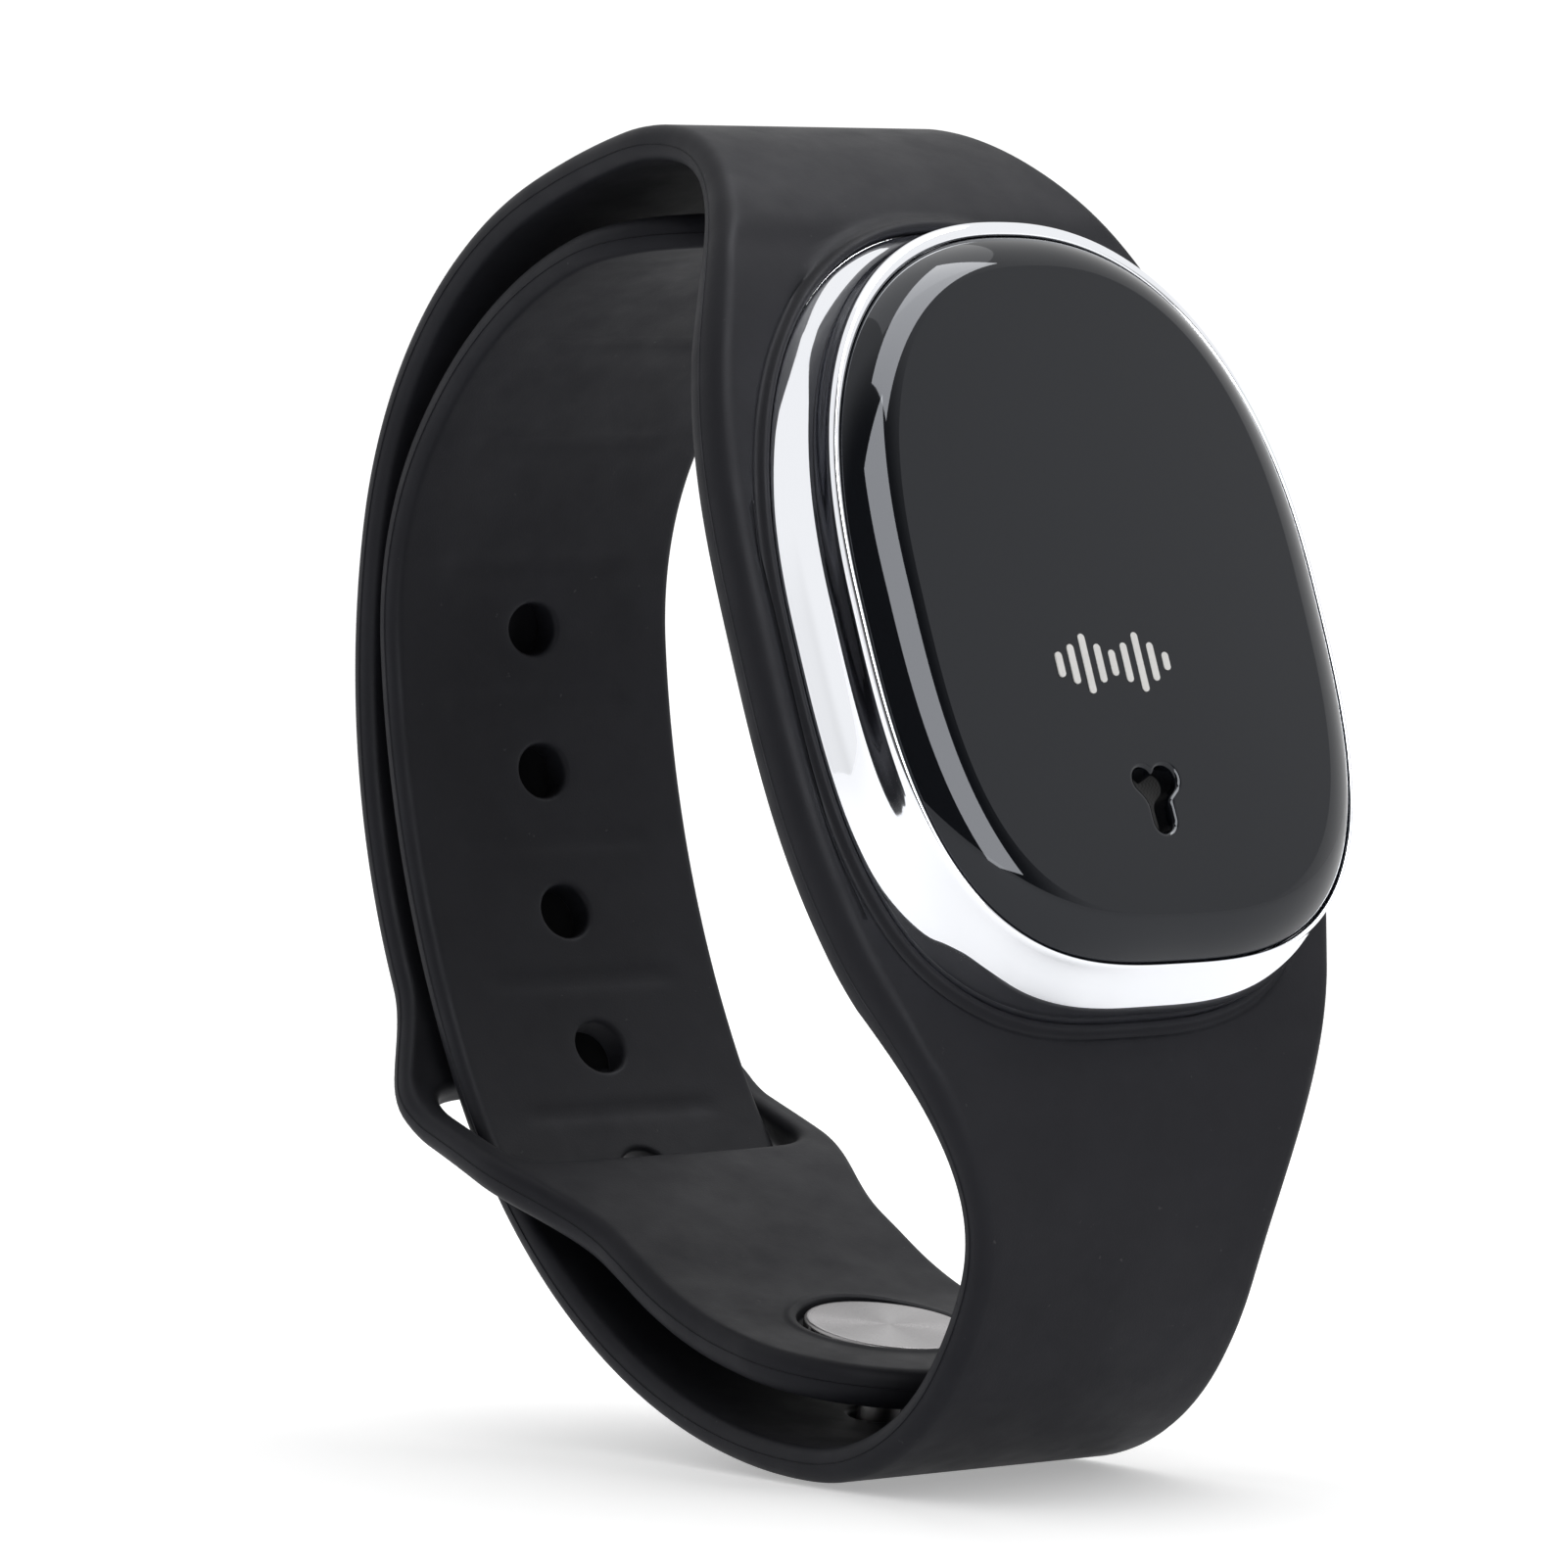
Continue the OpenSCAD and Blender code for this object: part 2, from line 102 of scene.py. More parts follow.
class NodePen:
    """Adds and joins shader nodes of one material."""

    def __init__(self, name: str) -> None:
        """Start a material with an empty tree.

        Args:
            name: The material's name.
        """
        self.material = bpy.data.materials.new(name)
        self.material.use_nodes = True
        self.tree = self.material.node_tree
        self.tree.nodes.clear()
        self.shader = self.add("ShaderNodeBsdfPrincipled")
        output = self.add("ShaderNodeOutputMaterial")
        self.join(self.shader, "BSDF", output, "Surface")

    def add(self, kind: str, **settings: object) -> Node:
        """Add a node.

        Args:
            kind: The node's type name.
            settings: Attributes to set on the node.

        Returns:
            The new node.
        """
        node = self.tree.nodes.new(kind)
        for key, value in settings.items():
            setattr(node, key, value)
        return node

    def join(self, a: Node, out: str | int, b: Node, into: str | int) -> None:
        """Link output `out` of node a to input `into` of node b."""
        self.tree.links.new(a.outputs[out], b.inputs[into])

    def place(self) -> Node:
        """Return a Mapping node on Object coordinates."""
        mapping = self.add("ShaderNodeMapping")
        self.join(self.add("ShaderNodeTexCoord"), "Object", mapping, "Vector")
        return mapping

    def noise(self, at: Node, per_mm: float, detail: float = 3, rough: float = 0.5) -> Node:
        """Return a noise node.

        Args:
            at: Node that gives the coordinates.
            per_mm: Features in one millimetre.
            detail: Octaves.
            rough: Strength of each finer octave.

        Returns:
            The noise node.
        """
        node = self.add("ShaderNodeTexNoise")
        node.inputs["Scale"].default_value = per_mm / MM
        node.inputs["Detail"].default_value = detail
        node.inputs["Roughness"].default_value = rough
        self.join(at, 0, node, "Vector")
        return node

    def ramp(self, source: Node, out: str | int, stops: Sequence[tuple[float, Sequence[float]]],
             ) -> Node:
        """Return a colour ramp fed by a value.

        Args:
            source: Node that gives the value.
            out: Its output.
            stops: Position and RGB colour of each stop.

        Returns:
            The ramp node.
        """
        node = self.add("ShaderNodeValToRGB")
        elements = node.color_ramp.elements
        while len(elements) < len(stops):
            elements.new(0.5)
        for element, (position, colour) in zip(elements, stops):
            element.position = position
            element.color = (*colour, 1)
        self.join(source, out, node, "Fac")
        return node

    def uneven(self, source: Node, socket: str, low: tuple[float, float],
               high: tuple[float, float]) -> None:
        """Drive a shader socket with grey levels.

        Args:
            source: Noise node that gives the pattern.
            socket: The shader's socket.
            low: Pattern value and level at the lower end.
            high: Pattern value and level at the upper end.
        """
        levels = self.ramp(source, "Fac", [(at, (level,) * 3) for at, level in (low, high)])
        self.join(levels, "Color", self.shader, socket)

    def paint(self, node: Node, out: str | int = "Color") -> None:
        """Take the shader's base colour from a node."""
        self.join(node, out, self.shader, "Base Color")

    def relief(self, bump: Node) -> None:
        """Take the shader's normal from a bump node."""
        self.join(bump, "Normal", self.shader, "Normal")

    def mixed(self, mask: Node, under: Node, over: Sequence[float]) -> None:
        """Paint a colour over a pattern where a mask is white.

        Args:
            mask: Node whose colour is the mask.
            under: Node that gives the colour below.
            over: RGB colour on top.
        """
        mix = self.add("ShaderNodeMix", data_type="RGBA")
        self.join(mask, "Color", mix, "Factor")
        self.join(under, "Color", mix, 6)
        mix.inputs[7].default_value = (*over, 1)
        self.paint(mix, 2)

    def bump(self, source: Node, out: str | int, height_mm: float, strength: float = 1.0,
             under: Node | None = None) -> Node:
        """Return a bump node.

        Args:
            source: Node that gives the height, from 0 to 1.
            out: Its output.
            height_mm: Height of the pattern.
            strength: Weight of the bump.
            under: Another bump node that this one adds to.

        Returns:
            The bump node.
        """
        node = self.add("ShaderNodeBump")
        node.inputs["Distance"].default_value = height_mm * MM
        node.inputs["Strength"].default_value = strength
        self.join(source, out, node, "Height")
        if under:
            self.join(under, "Normal", node, "Normal")
        return node

    def set(self, **values: object) -> None:
        """Set shader sockets, named with underscores for spaces."""
        for key, value in values.items():
            self.shader.inputs[key.replace("_", " ")].default_value = value


@dataclass(frozen=True)
class Silicone:
    """Matte moulded silicone: fine grain, faint mottling and sparse pale dust."""

    name: str = "silicone_black"
    dark: Triple = (0.0080, 0.0082, 0.0108)
    light: Triple = (0.0122, 0.0125, 0.0160)
    dust: Triple = (0.035, 0.035, 0.038)
    grain_mm: float = 0.012
    wave_mm: float = 0.10

    def material(self) -> bpy.types.Material:
        """Return the material."""
        pen = NodePen(self.name)
        at = pen.place()
        mottle = pen.noise(at, 0.12, 5, 0.62)
        base = pen.ramp(mottle, "Fac", [(0.3, self.dark), (0.72, self.light)])
        specks = pen.noise(at, 1.9, 2, 0.6)
        pen.mixed(pen.ramp(specks, "Fac", [(0.735, (0, 0, 0)), (0.80, (1, 1, 1))]), base, self.dust)
        pen.uneven(pen.noise(at, 0.35, 4, 0.6), "Roughness", (0.3, 0.50), (0.7, 0.62))
        grain = pen.bump(pen.noise(at, 9, 2, 0.5), "Fac", self.grain_mm, 0.55)
        pen.relief(pen.bump(pen.noise(at, 0.22, 2, 0.5), "Fac", self.wave_mm, 0.5, under=grain))
        pen.set(IOR=1.41, Specular_IOR_Level=0.22, Specular_Tint=(0.93, 0.94, 1.0, 1))
        return pen.material


@dataclass(frozen=True)
class Chrome:
    """Bright plating with the slightest waviness."""

    name: str = "bright_chrome"
    tint: Triple = (0.86, 0.875, 0.91)
    wave_mm: float = 0.03

    def material(self) -> bpy.types.Material:
        """Return the material."""
        pen = NodePen(self.name)
        at = pen.place()
        pen.uneven(pen.noise(at, 0.5, 4, 0.6), "Roughness", (0.35, 0.025), (0.75, 0.055))
        pen.relief(pen.bump(pen.noise(at, 0.09, 1, 0.4), "Fac", self.wave_mm, 0.35))
        pen.set(Base_Color=(*self.tint, 1), Metallic=1.0)
        return pen.material


@dataclass(frozen=True)
class GlossLens:
    """Deep black gloss plastic with a hard clear face."""

    name: str = "gloss_black_lens"
    colour: Triple = (0.0035, 0.0042, 0.006)

    def material(self) -> bpy.types.Material:
        """Return the material."""
        pen = NodePen(self.name)
        pen.uneven(pen.noise(pen.place(), 0.25, 5, 0.65), "Roughness", (0.35, 0.02), (0.8, 0.05))
        pen.set(Base_Color=(*self.colour, 1), IOR=1.45, Specular_Tint=(0.9, 0.93, 1.0, 1))
        return pen.material


@dataclass(frozen=True)
class TurnedSteel:
    """Steel with circular brushing. The piece's UV map runs round it in u and outwards in v, in millimetres."""

    name: str = "turned_steel"
    tint: Triple = (0.36, 0.35, 0.355)
    stretch: float = 0.012
    groove_mm: float = 0.006
    uv_map: str = "rings"

    def material(self) -> bpy.types.Material:
        """Return the material."""
        pen = NodePen(self.name)
        uv = pen.add("ShaderNodeUVMap", uv_map=self.uv_map)
        mapping = pen.add("ShaderNodeMapping")
        mapping.inputs["Scale"].default_value = (self.stretch, 1, 1)
        pen.join(uv, "UV", mapping, "Vector")
        lines = pen.add("ShaderNodeTexNoise")
        for key, value in (("Scale", 16), ("Detail", 6), ("Roughness", 0.75)):
            lines.inputs[key].default_value = value
        pen.join(mapping, "Vector", lines, "Vector")
        pen.paint(pen.ramp(lines, "Fac", [(0.3, tuple(0.82 * c for c in self.tint)), (0.7, self.tint)]))
        pen.uneven(lines, "Roughness", (0.3, 0.24), (0.7, 0.38))
        pen.relief(pen.bump(lines, "Fac", self.groove_mm, 0.6))
        tangent = pen.add("ShaderNodeTangent", direction_type="UV_MAP", uv_map=self.uv_map)
        pen.join(tangent, "Tangent", pen.shader, "Tangent")
        pen.set(Metallic=1.0, Anisotropic=0.85)
        return pen.material


@dataclass(frozen=True)
class Moulded:
    """Moulded plastic, rubber, foam or print: mottled colour, uneven gloss and a light grain."""

    name: str
    colour: Triple
    rough: float = 0.45
    grain_per_mm: float = 6.0
    grain_mm: float = 0.01
    contrast: float = 0.15
    metallic: float = 0.0
    transmission: float = 0.0

    def material(self) -> bpy.types.Material:
        """Return the material."""
        pen = NodePen(self.name)
        at = pen.place()
        mottle = pen.noise(at, 0.6, 4, 0.6)
        low = tuple(c * (1 - self.contrast) for c in self.colour)
        high = tuple(min(1.0, c * (1 + self.contrast)) for c in self.colour)
        pen.paint(pen.ramp(mottle, "Fac", [(0.3, low), (0.7, high)]))
        pen.uneven(mottle, "Roughness", (0.3, self.rough * 0.85), (0.7, min(1.0, self.rough * 1.15)))
        pen.relief(pen.bump(pen.noise(at, self.grain_per_mm, 3, 0.6), "Fac", self.grain_mm, 0.6))
        pen.set(Metallic=self.metallic, Transmission_Weight=self.transmission)
        return pen.material


@dataclass(frozen=True)
class BoardLaminate:
    """Green solder mask over copper tracks, with tinned vias."""

    name: str = "board_laminate"
    mask: Triple = (0.012, 0.085, 0.035)
    track: Triple = (0.03, 0.16, 0.06)
    via: Triple = (0.5, 0.5, 0.48)

    def material(self) -> bpy.types.Material:
        """Return the material."""
        pen = NodePen(self.name)
        at = pen.place()
        tracks = pen.add("ShaderNodeTexBrick")
        dull = tuple(0.8 * c for c in self.mask)
        for key, value in (("Scale", 0.9 / MM), ("Mortar Size", 0.09), ("Color1", (*self.mask, 1)),
                           ("Color2", (*dull, 1)), ("Mortar", (*self.track, 1))):
            tracks.inputs[key].default_value = value
        pen.join(at, 0, tracks, "Vector")
        dots = pen.add("ShaderNodeTexVoronoi")
        dots.inputs["Scale"].default_value = 0.55 / MM
        pen.join(at, 0, dots, "Vector")
        pen.mixed(pen.ramp(dots, "Distance", [(0.10, (1, 1, 1)), (0.12, (0, 0, 0))]), tracks, self.via)
        pen.set(Roughness=0.28, Coat_Weight=0.4, Coat_Roughness=0.1)
        return pen.material


@dataclass(frozen=True)
class FineMesh:
    """Woven acoustic mesh over the sound port."""

    name: str = "acoustic_mesh"
    thread: Triple = (0.018, 0.018, 0.02)
    gap: Triple = (0.002, 0.002, 0.002)
    threads_per_mm: float = 9.0

    def material(self) -> bpy.types.Material:
        """Return the material."""
        pen = NodePen(self.name)
        at = pen.place()
        weave = pen.add("ShaderNodeTexChecker")
        for key, value in (("Scale", self.threads_per_mm / MM), ("Color1", (*self.thread, 1)),
                           ("Color2", (*self.gap, 1))):
            weave.inputs[key].default_value = value
        pen.join(at, 0, weave, "Vector")
        pen.paint(weave)
        pen.relief(pen.bump(weave, "Fac", 0.03, 0.6))
        pen.set(Roughness=0.8)
        return pen.material


# ---- Mesh making ------------------------------------------------------------------------------------------


@dataclass
class Surface:
    """Points in millimetres and four-cornered faces. A face that names a corner twice is a triangle."""

    points: np.ndarray
    faces: np.ndarray

    def __add__(self, other: "Surface") -> "Surface":
        """Return both surfaces as one, unwelded."""
        return Surface(np.vstack([self.points, other.points]),
                       np.vstack([self.faces, other.faces + len(self.points)]))

    def welded(self, digits: int = 4) -> "Surface":
        """Merge equal points.

        Args:
            digits: Decimal places of a millimetre that count.

        Returns:
            The surface with each point once, and without faces that have collapsed.
        """
        _, first, index = np.unique(np.round(self.points, digits), axis=0, return_index=True, return_inverse=True)
        faces = index.reshape(-1)[self.faces]
        corners = [len(set(f)) for f in faces.tolist()]
        return Surface(self.points[first], faces[np.array(corners) > 2])

    def flipped(self) -> "Surface":
        """Return the surface with its faces turned over."""
        return Surface(self.points, self.faces[:, ::-1])

    def outward(self) -> "Surface":
        """Return a closed surface whose signed volume is positive, so that its faces point outwards."""
        p = self.points[self.faces]
        volume = np.einsum("ij,ij->i", p[:, 0], np.cross(p[:, 1], p[:, 2]) + np.cross(p[:, 2], p[:, 3])).sum()
        return self if volume > 0 else self.flipped()

    def piece(self, name: str, material: bpy.types.Material, sharp_deg: float = 50.0) -> bpy.types.Object:
        """Make the Blender object.

        Args:
            name: Name of the piece.
            material: Its material.
            sharp_deg: Edges that turn more than this are sharp.

        Returns:
            The object, at the origin, with smooth shading.
        """
        rows = [list(dict.fromkeys(f)) for f in self.faces.tolist()]
        mesh = bpy.data.meshes.new(name)
        mesh.from_pydata((self.points * MM).tolist(), [], rows)
        mesh.validate()
        mesh.shade_smooth()
        mesh.set_sharp_from_angle(angle=math.radians(sharp_deg))
        mesh.materials.append(material)
        mesh.update()
        obj = bpy.data.objects.new(name, mesh)
        bpy.context.scene.collection.objects.link(obj)
        return obj


def grid(points: np.ndarray, close_u: bool = False, close_v: bool = False) -> Surface:
    """Make faces over an array of points.

    Args:
        points: Array of rows, columns and coordinates.
        close_u: Join the last row to the first.
        close_v: Join the last column to the first.

    Returns:
        The surface, with the columns running to the left of the rows.
    """
    rows, columns = points.shape[:2]
    index = np.arange(rows * columns).reshape(rows, columns)
    if close_u:
        index = np.vstack([index, index[:1]])
    if close_v:
        index = np.hstack([index, index[:, :1]])
    a, b, c, d = index[:-1, :-1], index[1:, :-1], index[1:, 1:], index[:-1, 1:]
    return Surface(points.reshape(-1, points.shape[-1]), np.stack([a, b, c, d], -1).reshape(-1, 4))


@dataclass(frozen=True)
class Oval:
    """A superellipse that is squarer at its lower end than at its upper end, centred a little up the pod."""

    half_w: float
    half_l: float
    top: float = 2.3
    bottom: float = 3.0
    middle: float = 0.25

    def power(self, up: np.ndarray) -> np.ndarray:
        """Return the exponent for points with these coordinates up the oval; 2 would be an ellipse."""
        return np.where(up > 0, self.top, self.bottom)

    def grown(self, by: float) -> "Oval":
        """Return the oval with this much more on each half size."""
        return replace(self, half_w=self.half_w + by, half_l=self.half_l + by)

    def loop(self, angles: np.ndarray) -> np.ndarray:
        """Return points: each coordinate is its half size times a signed power of cosine or sine.

        Args:
            angles: Parameter angles in radians.

        Returns:
            Array of x and y.
        """
        c, s = np.cos(angles), np.sin(angles)
        bend = 2 / self.power(s)
        return np.stack([self.half_w * np.sign(c) * abs(c) ** bend,
                         self.middle + self.half_l * np.sign(s) * abs(s) ** bend], -1)

    def facing(self, c: np.ndarray, s: np.ndarray) -> np.ndarray:
        """Return the points whose coordinates, each over its half size, are in the ratio c to s."""
        p = self.power(s)
        reach = (abs(c) ** p + abs(s) ** p) ** (-1 / p)
        return np.stack([self.half_w * c * reach, self.middle + self.half_l * s * reach], -1)

    def shares(self, x: np.ndarray, y: np.ndarray) -> tuple[np.ndarray, np.ndarray, np.ndarray]:
        """Return each coordinate over its half size, kept off zero, and the exponent."""
        return (np.maximum(abs(x) / self.half_w, 1e-6), np.maximum(abs(y - self.middle) / self.half_l, 1e-6),
                self.power(y - self.middle))

    def rho(self, x: np.ndarray, y: np.ndarray) -> np.ndarray:
        """Return the scale of the like oval through each point: 1 is on the curve."""
        u, v, p = self.shares(x, y)
        return (u ** p + v ** p) ** (1 / p)

    def gap(self, x: np.ndarray, y: np.ndarray) -> np.ndarray:
        """Return the signed distance from the curve, to first order: its function over its slope.

        Args:
            x: Coordinates across.
            y: Coordinates along.

        Returns:
            Distance outside the curve, negative inside.
        """
        u, v, p = self.shares(x, y)
        rho = (u ** p + v ** p) ** (1 / p)
        slope = rho ** (1 - p) * np.hypot(u ** (p - 1) / self.half_w, v ** (p - 1) / self.half_l)
        return (rho - 1) / np.maximum(slope, 1e-6)


def stand_in(obj: bpy.types.Object, slot: str, *nodes: str, body: str | None = None) -> bpy.types.Object:
    """Tie a piece to the frame.

    Args:
        obj: The piece.
        slot: Not used.
        nodes: CAD nodes that it stands for.
        body: Body that it rides on, if one is given.

    Returns:
        The piece.
    """
    if body:
        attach(obj, body)
    if nodes:
        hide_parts(*nodes)
    return obj


def smooth(x: np.ndarray, a: float, b: float) -> np.ndarray:
    """Return a cubic step from 0 at a to 1 at b."""
    u = np.clip((x - a) / (b - a), 0, 1)
    return u * u * (3 - 2 * u)


# ---- The silicone band ------------------------------------------------------------------------------------


@dataclass
class Route:
    """A chain of arcs in the band's plane. Each arc is a length and a turn in degrees."""

    start: tuple[float, float]
    heading: float
    arcs: Sequence[tuple[float, float]]

    def at(self, s: np.ndarray) -> tuple[np.ndarray, np.ndarray, np.ndarray]:
        """Walk along the chain.

        Each arc starts where the last one ends. Inside an arc the heading grows evenly with length, and the
        point moves by the chord of the part walked.

        Args:
            s: Arc lengths.

        Returns:
            y, z and heading in radians at each.
        """
        s = np.asarray(s, float)
        y, z = np.full(s.shape, self.start[0]), np.full(s.shape, self.start[1])
        h = np.full(s.shape, self.heading)
        left = s.copy()
        for k, (length, turn) in enumerate(self.arcs):
            part = np.minimum(left, length) if k < len(self.arcs) - 1 else left
            swing = math.radians(turn) * part / length
            chord = part * np.sinc(swing / (2 * math.pi))
            y, z, h = y + chord * np.cos(h + swing / 2), z + chord * np.sin(h + swing / 2), h + swing
            left = left - part
        return y, z, h


@dataclass
class PodFrame:
    """The pod's own frame: x across the band, y up the pod and z out of its face, from the bezel's base."""

    depth: float = 5.6

    def __post_init__(self) -> None:
        """Take the face's direction from the release joint and its place from the skin face."""
        self.out = np.array(joint("pod_release")["axis"], float)
        self.up = np.cross(self.out, (1, 0, 0))
        self.origin = mm(mount("skin_face")["pos_m"]) + self.depth * self.out

    def to_row(self, p: np.ndarray) -> np.ndarray:
        """Return points of the pod's frame in the row's frame."""
        across = np.array((1.0, 0, 0))
        return self.origin + p[..., :1] * across + p[..., 1:2] * self.up + p[..., 2:3] * self.out


@dataclass
class Hole:
    """A round hole through the sheet."""

    at: float
    radius: float
    flare: float
    reach: float


@dataclass
class BandShape:
    """The band as a flat sheet: w runs along it from the pod's middle, up the pod first, and x runs across."""

    pod: PodFrame
    strap_w: float = 18.5
    strap_t: float = 1.8
    tab_t: float = 2.2
    slot_w: float = 23.0
    holder_w: float = 34.6
    holder_t: float = 3.2
    upper_from: float = 16.0
    lower_from: float = 15.0
    upper_end: float = 126.0
    lower_end: float = 138.0
    stud_at: float = 117.2
    stud_hole_at: float = 43.4
    first_hole: float = 51.6
    pitch: float = 8.0
    hole_r: float = 1.5
    slot: tuple[float, float] = (86.8, 96.4)
    face_gap: float = 0.18
    seat_end: tuple[float, float] = (21.0, 23.0)
    bezel: Oval = Oval(15.3, 20.92, 2.2, 3.0, 0.47)
    opening: Oval = Oval(13.15, 17.35)
    upper_arcs: Sequence[tuple[float, float]] = (
        (5.6, -15), (16.2, -67), (8.3, -9), (24.5, -57), (30.6, -42), (5.3, -40), (16, 11), (9, -19), (11, -4))
    lower_arcs: Sequence[tuple[float, float]] = (
        (3, -4), (21.6, 62), (12.8, 52), (36.3, 61), (25, 26), (12, 38), (28, 60))

    def __post_init__(self) -> None:
        """Start both chains on the pod's plane."""
        o, up = self.pod.origin, self.pod.up
        lean = math.atan2(up[2], up[1])
        self.upper = Route(tuple((o + self.upper_from * up)[1:]), lean, self.upper_arcs)
        self.lower = Route(tuple((o - self.lower_from * up)[1:]), lean - math.pi, self.lower_arcs)

    def flare(self, w: np.ndarray) -> np.ndarray:
        """Return the half width of holder and strap: the strap's, plus a bell over the pod."""
        bell = np.maximum(0, 1 - (abs(w) / 35) ** 3) ** 2.6
        return self.strap_w / 2 + (self.holder_w - self.strap_w) / 2 * bell

    def half(self, w: np.ndarray) -> np.ndarray:
        """Return the half width with the bulge round the tuck slot and without the rounded ends."""
        s = w - self.upper_from
        bulge = (self.slot_w - self.strap_w) / 2 * (smooth(s, 80, 88) - smooth(s, 95, 104))
        return self.flare(w) + bulge

    def thick(self, w: np.ndarray) -> np.ndarray:
        """Return the thickness: the holder's, down to the straps', and up to the tab's."""
        s = np.where(w > 0, w - self.upper_from, -w - self.lower_from)
        t = self.holder_t + (self.strap_t - self.holder_t) * smooth(s, 0, 16)
        return t + (self.tab_t - self.strap_t) * smooth(w - self.upper_from, 90, 100)

    def roll(self, w: np.ndarray, x: np.ndarray, depth: np.ndarray) -> np.ndarray:
        """Bend flat points round the loop.

        Args:
            w: Lengths along the band.
            x: Distances across.
            depth: Depths inside the outer face.

        Returns:
            Points in the row's frame, in millimetres.
        """
        up, low = w > self.upper_from, w < -self.lower_from
        uy, uz, uh = self.upper.at(np.maximum(w - self.upper_from, 0))
        ly, lz, lh = self.lower.at(np.maximum(-w - self.lower_from, 0))
        flat = self.pod.origin + w[:, None] * self.pod.up - depth[:, None] * self.pod.out
        y = np.where(up, uy + depth * np.sin(uh), np.where(low, ly - depth * np.sin(lh), flat[:, 1]))
        z = np.where(up, uz - depth * np.cos(uh), np.where(low, lz + depth * np.cos(lh), flat[:, 2]))
        return np.stack([x, y, z], -1)


class End(Enum):
    """How a stretch of the sheet ends."""

    CUT = "cut square, against the next stretch"
    ROUND = "free, with a round end"


